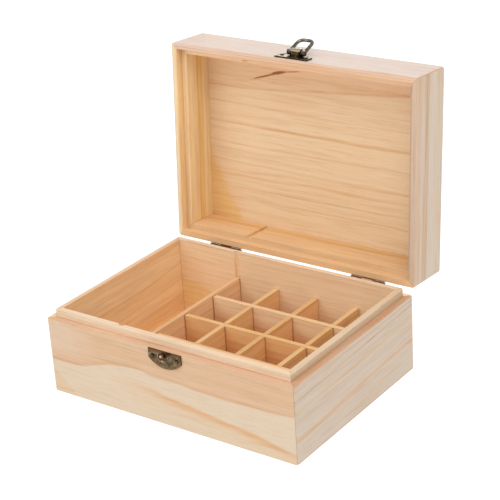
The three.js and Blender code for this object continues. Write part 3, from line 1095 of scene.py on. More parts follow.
@dataclass(frozen=True)
class Crisp:
    """A long rounded edge of a board that is squared up, and pushed out a little.

    Attributes:
        centre: The middle of its rounding, as Y and Z.
        toward: Which way the edge points from there.
        radius: The radius of its rounding.
        push: How far its level face moves up, or down if it points down.
        slack: How far a point may lie off the rounding and still belong to it.
        flat_slack: The same for the faces beside it.
    """

    centre: tuple[float, float]
    toward: tuple[float, float]
    radius: float
    push: float
    slack: float = 0.05
    flat_slack: float = 0.02

    def shape(self, piece: Object) -> None:
        """Squares the edge of a piece.

        Args:
            piece: The board, with the lid closed.
        """
        for vertex in piece.data.vertices:
            place = vertex.co / MM
            y = (place.y - self.centre[0]) * self.toward[0]
            z = (place.z - self.centre[1]) * self.toward[1]
            if min(y, z) > -self.flat_slack and abs(math.hypot(y, z) - self.radius) < self.slack:
                grow = self.radius / max(y, z)
                y, z = y * grow, z * grow
            if z > self.radius - self.flat_slack:
                z += self.push
            vertex.co.y = (self.centre[0] + y * self.toward[0]) * MM
            vertex.co.z = (self.centre[1] + z * self.toward[1]) * MM


CRISP_EDGES = {
    "back_wall": Crisp((74.2, 66.6), (1, 1), 0.6, 0.25),
    "lid_back_wall": Crisp((79.0, 62.3), (1, -1), 1.0, 0.2),
}


@dataclass
class Joinery:
    """Boards of the box, copied from the CAD boards and eased by hand.

    Attributes:
        half_width: Half the width of the box, where the mitres start.
        half_depth: Half its depth.
        softness: How far long edges are rounded.
        shortest: Edges shorter than this stay as they are, such as those of nail holes.
        mitre_slack: How far a point may lie off a mitre and still belong to it.
        weld: Points closer than this become one.
        flat: Edges that turn by less than this, in degrees, go.
    """

    half_width: float = 110.0
    half_depth: float = 80.0
    softness: float = 0.3
    shortest: float = 2.4
    mitre_slack: float = 0.3
    weld: float = 0.004
    flat: float = 0.6

    def board(self, node: str, body: str, slot: str, pine: Pine) -> None:
        """Copies a board, eases its edges and gives it its wood.

        Args:
            node: The CAD board.
            body: What it rides on.
            slot: Passed on to hang.
            pine: Its wood.
        """
        piece = bpy.data.objects.new(f"{node}_board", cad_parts[node].data.copy())
        bpy.context.scene.collection.objects.link(piece)
        if pine.in_lid:
            piece.data.transform(LID.opened().inverted())
        if node in CRISP_EDGES:
            CRISP_EDGES[node].shape(piece)
        with editing(piece):
            bpy.ops.mesh.customdata_custom_splitnormals_clear()
            bpy.ops.mesh.select_all(action="SELECT")
            bpy.ops.mesh.remove_doubles(threshold=self.weld * MM)
            bpy.ops.mesh.dissolve_limited(angle_limit=math.radians(self.flat))
        ease(piece, self.softness, 2, self._is_long_edge)
        smooth(piece)
        if pine.in_lid:
            piece.data.transform(LID.opened())
        piece.data.materials.clear()
        piece.data.materials.append(pine.material())
        hang(piece, body, slot, node)

    def _is_long_edge(self, edge: bmesh.types.BMEdge) -> bool:
        """Whether an edge is long, sharp and not part of a mitre."""
        long = edge.calc_length() >= self.shortest * MM
        return sharp(edge) and long and not all(self._on_mitre(vertex.co / MM) for vertex in edge.verts)

    def _on_mitre(self, place: Vector) -> bool:
        """Whether a place lies on a corner's mitre."""
        gap = (self.half_width - abs(place.x)) - (self.half_depth - abs(place.y))
        return abs(gap) < self.mitre_slack


@dataclass
class Body:
    """The body of the box: four mitred walls with a raised lip, and the bottom let into them.

    Attributes:
        joinery: How its boards are eased.
    """

    joinery: Joinery = field(default_factory=Joinery)

    def build(self) -> None:
        """Builds and dresses the walls and the bottom."""
        pines = (FRONT_WALL, RIGHT_WALL, LEFT_WALL, BACK_WALL)
        for side, pine in zip(("front", "right", "left", "back"), pines):
            self.joinery.board(f"{side}_wall", "box", "pine", pine)
        self.joinery.board("bottom_panel", "box", "pine_panel", BOTTOM_PANEL)


@dataclass
class Lid:
    """The lid: four mitred walls with a rebated rim, and the top panel let into them.

    Attributes:
        joinery: How its boards are eased.
    """

    joinery: Joinery = field(default_factory=Joinery)

    def build(self) -> None:
        """Builds and dresses the lid's boards."""
        pines = (LID_FRONT_WALL, LID_RIGHT_WALL, LID_LEFT_WALL, LID_BACK_WALL)
        for side, pine in zip(("front", "right", "left", "back"), pines):
            self.joinery.board(f"lid_{side}_wall", "lid", "pine", pine)
        self.joinery.board("lid_panel", "lid", "pine_panel", LID_PANEL)


@dataclass
class Dividers:
    """The divider of the long compartment and the lift-out grid of bottle cells.

    Attributes:
        joinery: How their boards are eased.
        rows: Where the rows of the grid are.
        columns: Where its columns and the divider that it stands against are.
        walls: The inner faces of the front and back walls.
        main_top: The top of the divider of the long compartment.
    """

    joinery: Joinery = field(default_factory=lambda: Joinery(softness=0.45))
    rows: tuple[float, ...] = (-36.25, 0.0, 36.25)
    columns: tuple[float, ...] = (-44.0, -6.25, 30.0, 66.25)
    walls: tuple[float, ...] = (-72.6, 72.6)
    main_top: float = 45.8

    def build(self) -> None:
        """Builds and dresses the dividers."""
        long_way = {"grain": Grain.ALONG_Y, "crossings": (*self.rows, *self.walls)}
        # Each set of tones below also says how strongly painted shade darkens the divider towards the floor.
        main = {"top": self.main_top, "floor_shade": 0.35, "early": tone(243, 202, 156), "late": tone(228, 174, 124)}
        self._board("divider", "main_divider", seed=31.0, **long_way, **main)
        golden = {
            "floor_shade": 0.7, "crest": tone(236, 240, 252), "early": tone(248, 203, 146),
            "late": tone(239, 184, 116), "patch": tone(243, 190, 120),
        }
        pale = {"early": tone(252, 224, 184), "late": tone(244, 204, 154), "patch": tone(248, 212, 160)}
        for i, (name, tones) in enumerate((("front", golden), ("middle", golden), ("rear", pale))):
            across = {"grain": Grain.ALONG_X, "crossings": self.columns}
            self._board("grid", f"row_divider_{name}", seed=40.0 + 5.3 * i, **across, **tones)
        amber = {
            "floor_shade": 0.4, "crest": tone(238, 246, 255), "early": tone(240, 192, 134),
            "late": tone(224, 165, 102), "patch": tone(231, 173, 104),
        }
        for i, name in enumerate(("left", "middle", "right")):
            self._board("grid", f"column_divider_{name}", seed=60.0 + 4.7 * i, **long_way, **amber)

    def _board(self, body: str, node: str, **pine: object) -> None:
        """Adds a board with a pine of its own."""
        self.joinery.board(node, body, "pine_divider", DividerPine(f"pine_{node}", **pine))


# Metal

# How much longer a drill is than what it goes through
OVERCUT = 4.0


@dataclass(frozen=True)
class Tarnish:
    """Brown tarnish along the straight edge and the bow of the body's plate.

    Attributes:
        colour: Its colour.
        x: The middle of the plate.
        edge: The height of the plate's straight edge.
        centre: The height of the middle of its bow.
        radius: The radius of its bow.
        width: How wide the tarnish is.
        edge_share: How strong it is along the straight edge.
        bow_share: How strong it is along the bow.
    """

    colour: Colour = tone(108, 74, 44)
    x: float = 1.6
    edge: float = 61.0
    centre: float = 66.8
    radius: float = 19.6
    width: float = 2.8
    edge_share: float = 0.9
    bow_share: float = 0.6

    def mask(self, paint: Paint) -> Signal:
        """Where the tarnish is.

        Args:
            paint: The material.

        Returns:
            How strong it is, 0 to 1.
        """
        x, _, z = paint.place()
        top = paint.step(z, self.edge - self.width, self.edge - self.width / 2)
        across, up = x - self.x, z - self.centre
        away = (across * across + up * up) ** 0.5
        bow = paint.step(away, self.radius - self.width, self.radius - self.width / 2)
        return paint.math("MAXIMUM", top * self.edge_share, bow * self.bow_share)


@dataclass(frozen=True)
class Bronze:
    """Stamped steel with an antique bronze finish: dark in its hollows, rubbed bright on its rims.

    Attributes:
        name: The material's name.
        dark: Its colour in the hollows.
        body: Its common colour.
        rubbed: Its colour where it is rubbed bright, and where a highlight is painted.
        roughness: How dull it is.
        metallic: How much of it shows through its patina.
        tarnish: The tarnish along its edges.
        age_and_shade: Its colour where it is black with age, and where shade is painted.
        bump: How strong its bumps are, and how deep.
    """

    name: str = "antique_bronze"
    dark: Colour = tone(92, 73, 50)
    body: Colour = tone(134, 112, 82)
    rubbed: Colour = tone(204, 192, 166)
    roughness: float = 0.3
    metallic: float = 1.0
    tarnish: Tarnish | None = None
    age_and_shade: Colour = tone(34, 27, 17)
    bump: tuple[float, float] = (0.25, 0.1 * MM)

    def material(self) -> bpy.types.Material:
        """Builds the metal.

        Returns:
            The material.
        """
        paint = Paint(self.name)
        where = paint.vector(*paint.place())
        cloud = paint.noise(where, scale=0.34, detail=2.0)
        speck = paint.noise(where, scale=2.4, detail=2.0)
        colour = paint.mix(self.dark, self.body, paint.step(cloud, 0.36, 0.66))
        if self.tarnish:
            colour = paint.mix(colour, self.tarnish.colour, self.tarnish.mask(paint))
        # The worn mark holds real wear, and on some pieces painted highlights towards 1 and painted shade
        # towards -1.
        worn = paint.node("ShaderNodeAttribute", {"attribute_name": "worn"}, None, "Fac")
        rub_and_highlight = paint.step(worn + (speck - 0.5) * 0.7, 0.35, 0.85)
        colour = paint.mix(colour, self.rubbed, rub_and_highlight * 0.8)
        colour = paint.mix(colour, self.age_and_shade, paint.step(worn, -1.0, -0.1, 0.9, 0.0))
        rough = paint.step(speck, 0.3, 0.7, self.roughness - 0.06, self.roughness + 0.1)
        bump = (*self.bump, cloud * 0.6 + speck * 0.4)
        return paint.finish(bump, Base_Color=colour, Metallic=self.metallic, Roughness=rough)


BRONZE = Bronze()
BROWNED = Bronze("browned_bronze", tone(96, 60, 32), tone(120, 80, 46), tone(214, 176, 134), 0.6, 0.25)
GREYED = Bronze("greyed_bronze", tone(104, 97, 86), tone(152, 144, 130), tone(206, 200, 186))
TARNISHED = Bronze("tarnished_bronze", tone(82, 68, 48), tone(130, 113, 88), tarnish=Tarnish())
COPPERY = Bronze("coppery_bronze", tone(78, 54, 34), tone(134, 98, 66), tone(228, 200, 168), roughness=0.26)


def dress(
    piece: Object,
    node: str,
    shape: str,
    body: str,
    metal: bpy.types.Material,
    worn: Callable[[Face], float],
    slot: str = "bronze",
    degrees: float = 38.0,
) -> None:
    """Finishes a metal piece that is modelled with the lid closed.

    Args:
        piece: The piece.
        node: The CAD solid that it replaces.
        shape: What kind of shape it is, for its name.
        body: What it rides on; anything but the box itself is opened with the lid.
        metal: Its metal.
        worn: How a face is marked: 1 where it is rubbed bright and where a highlight is painted, -1 where it
            is black with age and where shade is painted.
        slot: Passed on to hang.
        degrees: Edges that turn by more than this stay sharp.
    """
    marks = piece.data.attributes.new("worn", "FLOAT", "FACE")
    for face in piece.data.polygons:
        marks.data[face.index].value = worn(face)
    settle(piece, f"{node}_{shape}", None if body == "box" else LID.opened())
    smooth(piece, degrees)
    piece.data.materials.append(metal)
    hang(piece, body, slot, node)


@dataclass
class Nail:
    """A dome nail: a low head on a short shank, pointed at its end.

    Attributes:
        head_radius: The radius of its head.
        head_height: How high the head is above its rim.
        rim: How high the rim stands above the face.
        under: The underside of the rim: its share of the head's radius, and how far down it is.
        shank_radius: The radius of its shank.
        length: How far it goes in.
        point: How long its point is.
        sink: How far the whole head sits below the face.
    """

    head_radius: float = 1.5
    head_height: float = 0.9
    rim: float = 0.1
    under: tuple[float, float] = (0.94, 0.04)
    shank_radius: float = 0.6
    length: float = 4.2
    point: float = 0.6
    sink: float = 0.25

    def build(self, face: Point, outward: float) -> Object:
        """Models a nail.

        Args:
            face: Where on a face its head stands.
            outward: 1 if the head faces +Y, -1 if it faces -Y.

        Returns:
            The nail.
        """
        top = self.rim - self.sink
        share, drop = self.under
        profile = [
            (0.0, -self.length),
            (self.shank_radius, self.point - self.length),
            (self.shank_radius, top),
            (self.head_radius * share, top - drop),
            *dome(self.head_radius, top, self.head_height, 12),
        ]
        return turned(profile, face, outward, 24)


@dataclass
class HalfMoonPlate:
    """A stamped half-moon plate with a raised border and a dish round each nail.

    Attributes:
        x: Its middle.
        front: Where its front face stands.
        thickness: How thick it is.
        width: How wide it is.
        end_height: How high its short ends are.
        height: How far it bows out.
        soft: How far its outer edge is rounded.
        border: How wide its raised border is.
        slope: How wide the slope inside the border is.
        press: How far the face inside the border is pressed in.
        nail_spread: How far its nails are apart.
        nail_reach: How far they are from its straight edge.
        dish: The wide and the narrow radius of the dish round a nail, and its length.
    """

    x: float = 1.6
    front: float = -81.2
    thickness: float = 1.0
    width: float = 29.0
    end_height: float = 7.4
    height: float = 13.8
    soft: float = 0.22
    border: float = 1.0
    slope: float = 0.3
    press: float = 0.24
    nail_spread: float = 21.6
    nail_reach: float = 5.3
    dish: tuple[float, float, float] = (2.1, 1.5, 0.7)

    def build(self, edge: float, bows: float) -> Object:
        """Models the plate from a disc, cut straight on three sides.

        Args:
            edge: The height of its straight edge.
            bows: 1 if it bows upwards from there, -1 if it bows downwards.

        Returns:
            The plate.
        """
        half = self.width / 2
        bow = self.height - self.end_height
        radius = (half * half + bow * bow) / (2 * bow)
        centre = edge + bows * (self.height - radius)
        plate = rod((self.x, self.front + self.thickness / 2, centre), radius, self.thickness, "Y", 128)
        cuts = ((self.x, (0, 0, -bows)), (self.x - half, (-1, 0, 0)), (self.x + half, (1, 0, 0)))
        with editing(plate):
            for x, normal in cuts:
                bpy.ops.mesh.select_all(action="SELECT")
                spot = (x * MM, 0, edge * MM)
                bpy.ops.mesh.bisect(plane_co=spot, plane_no=normal, clear_outer=True, use_fill=True)
        ease(plate, self.soft, 2, lambda e: sharp(e) and lies_before(e, self.front))
        with editing(plate, "FACE"):
            pick(plate, "faces", lambda f: f.normal.y < -0.99)
            bpy.ops.mesh.inset(thickness=self.border * MM, depth=0)
            bpy.ops.mesh.inset(thickness=self.slope * MM, depth=-self.press * MM)
        wide, narrow, depth = self.dish
        for x, z in self.nails(edge, bows):
            combine(plate, rod((x, self.front + self.press, z), wide, depth, "Y", 32, narrow), "DIFFERENCE")
        return plate

    def worn(self, face: Face, edge: float, bows: float, rim: float) -> float:
        """Says how a face is marked: black on the plate's sides, paler round its nails, and rubbed on its
        rim.

        Args:
            face: The face.
            edge: The height of the plate's straight edge.
            bows: 1 if it bows upwards from there, -1 if it bows downwards.
            rim: How far its small faces are rubbed, which lie along its rim.

        Returns:
            The wear.
        """
        x, y, z = face.center / MM
        if abs(face.normal.y) < 0.3:
            return -0.9
        near = min(math.hypot(x - nail_x, z - nail_z) for nail_x, nail_z in self.nails(edge, bows))
        if near < 2.3 and y < self.front + self.press + 0.6:
            return 0.25
        return rim if face.area < 1.2 * MM * MM else 0.0

    def nails(self, edge: float, bows: float) -> list[tuple[float, float]]:
        """Where its two nails go, across and up."""
        return [(self.x + side * self.nail_spread / 2, edge + bows * self.nail_reach) for side in (-1, 1)]


@dataclass
class Latch:
    """The latch: a knob on a plate of the body, and a wire loop that turns in a barrel of the lid's plate.

    Attributes:
        plate: The plate that both halves have.
        nail: Its nails.
        strike_edge: The height of the straight edge of the body's plate.
        hasp_edge: The same of the lid's plate.
        ring_drop: How far below the body's edge the middle of the raised ring is.
        ring_radius: The radius of this ring.
        ring_wire: The radius of its section.
        knob_drop: How far below the edge the knob is.
        knob_foot: The knob's shank, base and waist, as radius and height.
        knob_dome: The knob's dome: its radius, the height of its rim and its rise above that.
        loop_at: Where the loop turns.
        barrel_radius: The radius of the barrel.
        barrel_length: Its length.
        barrel_bore: The radius of its bore.
        barrel_foot: How far its foot reaches into the plate.
        barrel_flat: How wide a flat its round front keeps on each side.
        barrel_soft: How far its ends are rounded.
        barrel_ends: How far from its left and right end a crease runs round it.
        leg_spread: How far the legs of the loop are apart.
        loop_length: How long they are.
        far_bend: How widely the wire bends at its far end.
        near_bend: How widely it bends at the barrel.
        wire_radius: The radius of the wire.
        eye_radius: The radius of the eyes beside the barrel.
        eye_width: How wide these are.
        eye_soft: How far their edges are rounded.
        eye_gap: How far they are from the barrel.
        loop_angle: How far the loop is lifted with the lid closed, from hanging straight down.
    """

    plate: HalfMoonPlate = field(default_factory=HalfMoonPlate)
    nail: Nail = field(default_factory=Nail)
    strike_edge: float = 61.0
    hasp_edge: float = 61.5
    ring_drop: float = 3.9
    ring_radius: float = 3.6
    ring_wire: float = 0.42
    knob_drop: float = 2.7
    knob_foot: tuple[tuple[float, float], ...] = (
        (0.0, -4.0), (1.0, -4.0), (1.0, 0.05), (2.6, 0.05), (2.6, 0.35), (2.35, 0.55), (1.95, 0.75),
        (1.85, 2.6), (2.1, 3.2), (2.7, 3.55), (2.93, 3.75),
    )
    knob_dome: Point = (3.0, 3.9, 1.4)
    loop_at: Point = (2.2, -83.6, 69.2)
    barrel_radius: float = 3.0
    barrel_length: float = 9.0
    barrel_bore: float = 1.55
    barrel_foot: float = 0.5
    barrel_flat: float = 0.05
    barrel_soft: float = 0.25
    barrel_ends: tuple[float, float] = (1.5, 1.6)
    leg_spread: float = 12.9
    loop_length: float = 15.6
    far_bend: float = 4.4
    near_bend: float = 1.5
    wire_radius: float = 1.35
    eye_radius: float = 2.3
    eye_width: float = 2.9
    eye_soft: float = 0.3
    eye_gap: float = 0.25
    loop_angle: float = math.radians(156.7)

    def build(self) -> None:
        """Builds and dresses the pieces of the latch."""
        bronze = BRONZE.material()
        self._strike(TARNISHED.material())
        self._knob(COPPERY.material())
        self._hasp(bronze)
        self._loop(GREYED.material())

    def _nails(self, prefix: str, edge: float, bows: float, body: str, metal: bpy.types.Material) -> None:
        """Adds the two nails of a plate.

        Args:
            prefix: What their names start with.
            edge: The height of the plate's straight edge.
            bows: 1 if the plate bows upwards from there, -1 if it bows downwards.
            body: What they ride on.
            metal: Their metal.
        """
        for side, (x, z) in zip(("left", "right"), self.plate.nails(edge, bows)):
            middle = Vector((x, self.plate.front + self.plate.press, z))
            nail = self.nail.build(tuple(middle), -1)
            dress(
                nail, f"{prefix}_nail_{side}", "dome", body, metal, lambda face: self._nail_darkness(face, middle)
            )

    @staticmethod
    def _nail_darkness(face: Face, middle: Vector) -> float:
        """How dark a nail is: black but for its crown."""
        off = face.center / MM - middle
        return 0.3 if math.hypot(off.x, off.z) < 0.7 else -0.8

    def _strike(self, metal: bpy.types.Material) -> None:
        """Builds the body's plate, with a raised ring round the knob.

        Args:
            metal: The metal of the plate and its nails.
        """
        plate = self.plate.build(self.strike_edge, -1)
        place = (self.plate.x, self.plate.front + self.plate.press, self.strike_edge - self.ring_drop)
        bpy.ops.mesh.primitive_torus_add(
            major_radius=self.ring_radius * MM, minor_radius=self.ring_wire * MM, major_segments=48,
            minor_segments=12, location=[value * MM for value in place], rotation=(math.pi / 2, 0, 0),
        )
        combine(plate, settle(bpy.context.object, "ring"), "UNION")
        dress(plate, "strike_plate", "stamped", "box", metal, self._strike_wear_and_highlight)
        self._nails("strike", self.strike_edge, -1, "box", metal)

    def _strike_wear_and_highlight(self, face: Face) -> float:
        """Says how the body's plate is marked: as any plate, with a painted highlight on part of the raised
        ring round the knob.

        Args:
            face: The face.

        Returns:
            The wear, and the ring's painted highlight.
        """
        x, _, z = face.center / MM
        off_x, off_z = x - self.plate.x, z - self.strike_edge + self.ring_drop
        # Painted highlight on the lower side of the raised ring.
        if abs(math.hypot(off_x, off_z) - self.ring_radius) < 0.6 and off_z < off_x + 0.5:
            return 0.35 if off_z < 1.0 else 0.2
        return self.plate.worn(face, self.strike_edge, -1, 0.4)

    def _knob(self, metal: bpy.types.Material) -> None:
        """Builds the knob: a base ring, a waist and a domed head.

        Args:
            metal: Its metal.
        """
        centre = Vector((self.plate.x, self.plate.front, self.strike_edge - self.knob_drop))
        knob = turned([*self.knob_foot, *dome(*self.knob_dome, 10)], tuple(centre), -1, 48)
        dress(
            knob, "strike_knob", "turned", "box", metal, lambda face: self._knob_highlight_and_shade(face, centre),
            slot="coppery_bronze",
        )

    @staticmethod
    def _knob_highlight_and_shade(face: Face, centre: Vector) -> float:
        """Says how the knob is painted: painted shade round its foot and waist and on the upper right of its
        rim, and a painted highlight near its crown and on the lower left of its rim.

        Args:
            face: The face.
            centre: Where the knob stands.

        Returns:
            The painted highlight and shade.
        """
        place = face.center / MM - centre
        # Painted shade round the foot and waist.
        if -place.y < 3.3:
            return -0.7
        # Painted highlight near the crown.
        if math.hypot(place.x - 0.8, place.z - 1.4) < 0.9:
            return 1.0
        # Painted highlight on the lower left of the rim, painted shade on the rest of it.
        if math.hypot(place.x, place.z) > 2.3:
            return 0.8 if place.x + place.z < 0.4 else -0.3
        return 0.2

    def _hasp(self, metal: bpy.types.Material) -> None:
        """Builds the lid's plate, with its barrel on a foot.

        Args:
            metal: The metal of the plate and its nails.
        """
        plate = self.plate.build(self.hasp_edge, 1)
        x, y, z = self.loop_at
        left, right = x - self.barrel_length / 2, x + self.barrel_length / 2
        crown = y - self.barrel_radius
        low = (left, crown, z - self.barrel_radius)
        barrel = block(low, (right, self.plate.front + self.barrel_foot, z + self.barrel_radius))
        bend = self.barrel_radius - self.barrel_flat
        ease(barrel, bend, 12, lambda e: runs(e, 0) > 1 and lies_before(e, crown))
        ease(barrel, self.barrel_soft, 2, lambda e: sharp(e) and runs(e, 0) < 0.001)
        with editing(barrel):
            for crease in (left + self.barrel_ends[0], right - self.barrel_ends[1]):
                bpy.ops.mesh.select_all(action="SELECT")
                bpy.ops.mesh.bisect(plane_co=(crease * MM, 0, 0), plane_no=(1, 0, 0))
        bore = rod(self.loop_at, self.barrel_bore, self.barrel_length + OVERCUT, "X", 32)
        combine(barrel, bore, "DIFFERENCE")
        combine(plate, barrel, "UNION")
        dress(plate, "hasp_plate", "stamped", "lid", metal, self._hasp_wear_highlight_and_shade)
        self._nails("hasp", self.hasp_edge, 1, "lid", metal)

    def _hasp_wear_highlight_and_shade(self, face: Face) -> float:
        """Says how the lid's plate is marked: as any plate, with a painted highlight on its barrel's crown
        and painted shade on the barrel's sides, darkest at its ends.

        Args:
            face: The face.

        Returns:
            The wear, and the barrel's painted highlight and shade.
        """
        x, y, _ = face.center / MM
        if y > self.plate.front - 0.05:
            return self.plate.worn(face, self.hasp_edge, 1, 0.3)
        # Painted highlight on the barrel's crown, painted shade on its sides, darker on its ends.
        if face.normal.y < -0.55:
            return 1.0
        return -1.0 if abs(x - self.loop_at[0]) > self.barrel_length / 2 - self.barrel_ends[1] else -0.45

    def _loop(self, metal: bpy.types.Material) -> None:
        """Builds the wire loop, bent from a rectangle with rounded corners.

        Args:
            metal: Its metal.
        """
        middle = (0, 0, -self.loop_length / 2 * MM)
        bpy.ops.mesh.primitive_plane_add(size=1, location=middle, rotation=(math.pi / 2, 0, 0))
        loop = bpy.context.object
        loop.scale = (self.leg_spread * MM, self.loop_length * MM, 1)
        settle(loop, "loop")
        with editing(loop, "VERT"):
            for end, bend in ((self.loop_length, self.far_bend), (0.0, self.near_bend)):
                pick(loop, "verts", lambda v: self._is_corner(v, end))
                bpy.ops.mesh.bevel(offset=bend * MM, segments=12, affect="VERTICES", clamp_overlap=False)
            bpy.ops.mesh.select_all(action="SELECT")
            bpy.ops.mesh.delete(type="ONLY_FACE")
        take(loop)
        bpy.ops.object.convert(target="CURVE")
        loop.data.bevel_depth = self.wire_radius * MM
        loop.data.bevel_resolution = 5
        bpy.ops.object.convert(target="MESH")
        for side in (-1, 1):
            x = side * (self.barrel_length / 2 + self.eye_gap + self.eye_width / 2)
            eye = rod((x, 0, 0), self.eye_radius, self.eye_width, "X", 40)
            ease(eye, self.eye_soft, 2, sharp)
            combine(loop, eye, "UNION")
        place = Matrix.Translation(Vector(self.loop_at) * MM)
        settle(loop, "loop", place @ Matrix.Rotation(-self.loop_angle, 4, "X"))
        dress(loop, "hasp_loop", "wire", "loop", metal, self._loop_wear_highlight_and_shade, degrees=60.0)

    def _is_corner(self, vertex: bmesh.types.BMVert, end: float) -> bool:
        """Whether a point is a corner of the flat loop, this far down."""
        x, _, z = vertex.co / MM
        return abs(abs(x) - self.leg_spread / 2) < 0.001 and abs(z + end) < 0.001

    def _loop_wear_highlight_and_shade(self, face: Face) -> float:
        """Says how the loop is marked: painted shade makes its eyes black but for their crowns, which carry a
        painted highlight, and the wire is a little rubbed elsewhere.

        Args:
            face: The face.

        Returns:
            The wear, and the eyes' painted highlight and shade.
        """
        off = face.center / MM - Vector(self.loop_at)
        if math.hypot(off.y, off.z) > self.eye_radius + 0.1:
            return 0.3
        # Painted highlight on the eyes' crowns, painted shade on the rest of them.
        return 0.7 if off.y < -0.72 * self.eye_radius else -0.75


@dataclass
class Hinge:
    """A small butt hinge on the back: two leaves with rolled knuckles, a pin and four dome nails.

    Attributes:
        length: Its length along the back.
        back: Where its leaves lie, just off the wood.
        thickness: How thick they are.
        leaf: How far a leaf reaches from the hinge line.
        leaf_bend: How round a leaf's far corners are.
        knuckle_radius: The radius of its knuckles.
        knuckle_gap: How far a knuckle is from the other leaf and its knuckles.
        seam: How far a leaf's near edge is from the hinge line.
        knuckle_soft: How far a knuckle's edges are rounded.
        pin_radius: The radius of its pin.
        pin_soft: How far its ends are rounded.
        pin_room: How much wider the bore is.
        nail_spread: How far the nails of a leaf are apart.
        nail_reach: How far they are from the hinge line.
        shine: How bright the painted highlight on the lid's knuckle is.
        nail_shine: How far its nails are rubbed.
        pin_shine: How far its pin is rubbed.
        nail: Its nails.
    """

    length: float = 29.0
    back: float = 80.2
    thickness: float = 1.0
    leaf: float = 11.0
    leaf_bend: float = 1.6
    knuckle_radius: float = 2.1
    knuckle_gap: float = 0.3
    seam: float = 0.1
    knuckle_soft: float = 0.2
    pin_radius: float = 0.9
    pin_soft: float = 0.25
    pin_room: float = 0.2
    nail_spread: float = 18.0
    nail_reach: float = 7.0
    shine: float = 0.0
    nail_shine: float = 0.4
    pin_shine: float = 0.6
    nail: Nail = field(default_factory=lambda: Nail(sink=0.0))

    def build(self, name: str, x: float, metal: bpy.types.Material) -> None:
        """Builds and dresses one hinge.

        Args:
            name: The hinge's name in the CAD.
            x: Its middle.
            metal: Its metal.
        """
        for part, body, up in (("body", "box", -1), ("lid", "lid", 1)):
            # Only the lid's knuckle carries the painted highlight.
            shine = self.shine if part == "lid" else 0.0
            leaf = self._leaf(x, up)
            dress(
                leaf, f"{name}_{part}_leaf", "rolled", body, metal, lambda face: self._leaf_highlight(face, shine)
            )
            height = LID.axis_z + up * self.nail_reach
            for side, sign in (("left", -1), ("right", 1)):
                face = (x + sign * self.nail_spread / 2, self.back + self.thickness, height)
                nail = self.nail.build(face, 1)
                dress(nail, f"{name}_{part}_nail_{side}", "dome", body, metal, lambda _: self.nail_shine)
        pin = rod((x, LID.axis_y, LID.axis_z), self.pin_radius, self.length, "X", 24)
        ease(pin, self.pin_soft, 3, sharp)
        dress(pin, f"{name}_pin", "rod", "box", metal, lambda _: self.pin_shine)

    def _leaf(self, x: float, up: float) -> Object:
        """Models one leaf with the lid closed.

        Args:
            x: The hinge's middle.
            up: 1 for the lid's leaf, which has the middle knuckle, and -1 for the body's.

        Returns:
            The leaf.
        """
        left, right, third = x - self.length / 2, x + self.length / 2, self.length / 3
        far, near = LID.axis_z + up * self.leaf, LID.axis_z + up * self.seam
        leaf = block((left, self.back, min(far, near)), (right, self.back + self.thickness, max(far, near)))
        ease(leaf, self.leaf_bend, 4, lambda e: self._is_far_corner(e, far))
        outer = [(left, left + third), (right - third, right)]
        middle = [(x - third / 2, x + third / 2)]
        own, others = (middle, outer) if up > 0 else (outer, middle)
        for start, end in others:
            room = (self.knuckle_radius + self.knuckle_gap, end - start + self.knuckle_gap)
            combine(leaf, rod(((start + end) / 2, LID.axis_y, LID.axis_z), *room, "X"), "DIFFERENCE")
        for start, end in own:
            first = start + (self.knuckle_gap / 2 if start > left else 0)
            last = end - (self.knuckle_gap / 2 if end < right else 0)
            spot = ((first + last) / 2, LID.axis_y, LID.axis_z)
            knuckle = rod(spot, self.knuckle_radius, last - first, "X")
            ease(knuckle, self.knuckle_soft, 2, sharp)
            combine(leaf, knuckle, "UNION")
        hinge_line = (x, LID.axis_y, LID.axis_z)
        bore = rod(hinge_line, self.pin_radius + self.pin_room, self.length + OVERCUT, "X", 32)
        combine(leaf, bore, "DIFFERENCE")
        return leaf

    def _leaf_highlight(self, face: Face, shine: float) -> float:
        """How a leaf is painted: only its knuckles may carry a painted highlight."""
        off = face.center / MM - Vector((0, LID.axis_y, LID.axis_z))
        return shine if math.hypot(off.y, off.z) < self.knuckle_radius + 0.1 else 0.0

    @staticmethod
    def _is_far_corner(edge: bmesh.types.BMEdge, far: float) -> bool:
        """Whether an edge is a corner of the leaf away from its knuckles."""
        return runs(edge, 1) > 0.5 and all(abs(vertex.co.z / MM - far) < 0.001 for vertex in edge.verts)


# The studio


@dataclass(frozen=True)
class Lamp:
    """A square soft light that faces the box.

    Attributes:
        name: Its name.
        place: Where it hangs.
        size: How wide it is.
        power: How strong it is, in watts.
        colour: Its colour.
        target: What it faces.
    """

    name: str
    place: Point
    size: float
    power: float
    colour: Colour = (1.0, 1.0, 1.0)
    target: Point = (0.0, 0.0, 60.0)

    def build(self) -> None:
        """Adds the light."""
        data = bpy.data.lights.new(self.name, "AREA")
        data.size = self.size * MM
        data.energy = self.power
        data.color = self.colour
        light = bpy.data.objects.new(self.name, data)
        light.location = Vector(self.place) * MM
        aim = Vector(self.target) - Vector(self.place)
        light.rotation_euler = aim.to_track_quat("-Z", "Y").to_euler()
        bpy.context.scene.collection.objects.link(light)


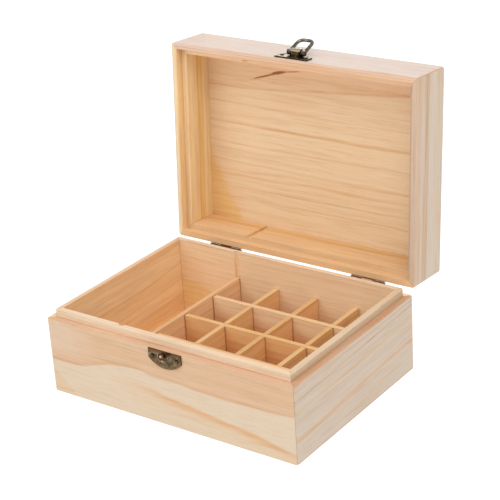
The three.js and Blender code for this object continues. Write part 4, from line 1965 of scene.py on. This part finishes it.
@dataclass
class Studio:
    """A pale floor, soft light and the camera where the photograph was taken.

    Attributes:
        lens: The camera's focal length.
        sensor: The width of its sensor.
        reach: How far it sees, in metres.
        camera: Where it stands.
        right: The direction that is right in its view.
        down: The direction that is down in its view.
        forward: The direction in which it looks.
        floor_size: How wide the floor is, in metres.
        floor_drop: How far it lies under the box, in metres.
        floor_grey: How pale it is.
        floor_glow: How much light it gives off.
        sky: How bright the sky is.
        lamps: The lights.
    """

    lens: float = 111.384
    sensor: float = 36.0
    reach: float = 20.0
    camera: Point = (627.95, -816.58, 560.56)
    right: Point = (0.8173, 0.5731, -0.0600)
    down: Point = (0.1876, -0.3631, -0.9127)
    forward: Point = (-0.5449, 0.7346, -0.4043)
    floor_size: float = 8.0
    floor_drop: float = 0.0002
    floor_grey: float = 0.42
    floor_glow: float = 0.8
    sky: float = 0.58
    lamps: tuple[Lamp, ...] = (
        Lamp("key", (-600, -1000, 1000), 1000, 5.0, (1.0, 0.99, 0.97)),
        Lamp("over", (600, -300, 1300), 1100, 11.5),
        Lamp("back", (-1080, 1740, 590), 700, 4.6),
    )

    def build(self) -> None:
        """Builds the camera, the floor, the sky and the lights."""
        self._camera()
        self._floor()
        self._sky()
        for lamp in self.lamps:
            lamp.build()
        bpy.context.scene.view_settings.view_transform = "Standard"

    def _camera(self) -> None:
        """Places the camera by the fit of the box's edges."""
        data = bpy.data.cameras.new("camera")
        data.lens = self.lens
        data.sensor_width = self.sensor
        data.clip_end = self.reach
        camera = bpy.data.objects.new("camera", data)
        turn = Matrix([Vector(self.right), -Vector(self.down), -Vector(self.forward)]).transposed()
        place = Matrix.Translation(Vector(self.camera) * MM)
        camera.matrix_world = place @ turn.to_quaternion().to_matrix().to_4x4()
        bpy.context.scene.collection.objects.link(camera)
        bpy.context.scene.camera = camera

    def _floor(self) -> None:
        """Lays a plain pale floor just under the box."""
        bpy.ops.mesh.primitive_plane_add(size=self.floor_size, location=(0, 0, -self.floor_drop))
        floor = settle(bpy.context.object, "floor")
        glow = {"Emission_Color": (1.0, 1.0, 1.0), "Emission_Strength": self.floor_glow}
        white = Paint("floor_white").finish(Base_Color=(self.floor_grey,) * 3, Roughness=0.7, **glow)
        floor.data.materials.append(white)

    def _sky(self) -> None:
        """Lights the scene evenly all round."""
        world = bpy.data.worlds.new("sky")
        world.use_nodes = True
        background = world.node_tree.nodes["Background"]
        background.inputs["Color"].default_value = (1.0, 1.0, 1.0, 1.0)
        background.inputs["Strength"].default_value = self.sky
        bpy.context.scene.world = world


def main() -> None:
    """Builds the studio and the box."""
    logging.basicConfig(level=logging.INFO, format="%(message)s")
    Studio().build()
    Body().build()
    Dividers().build()
    Lid().build()
    browned = BROWNED.material()
    # The right hinge's lid knuckle carries a painted highlight.
    for name, x, shine in (("left_hinge", -63.3, 0.0), ("right_hinge", 69.0, 1.0)):
        Hinge(shine=shine).build(name, x, browned)
    Latch().build()
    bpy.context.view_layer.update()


if __name__ == "__main__":
    main()
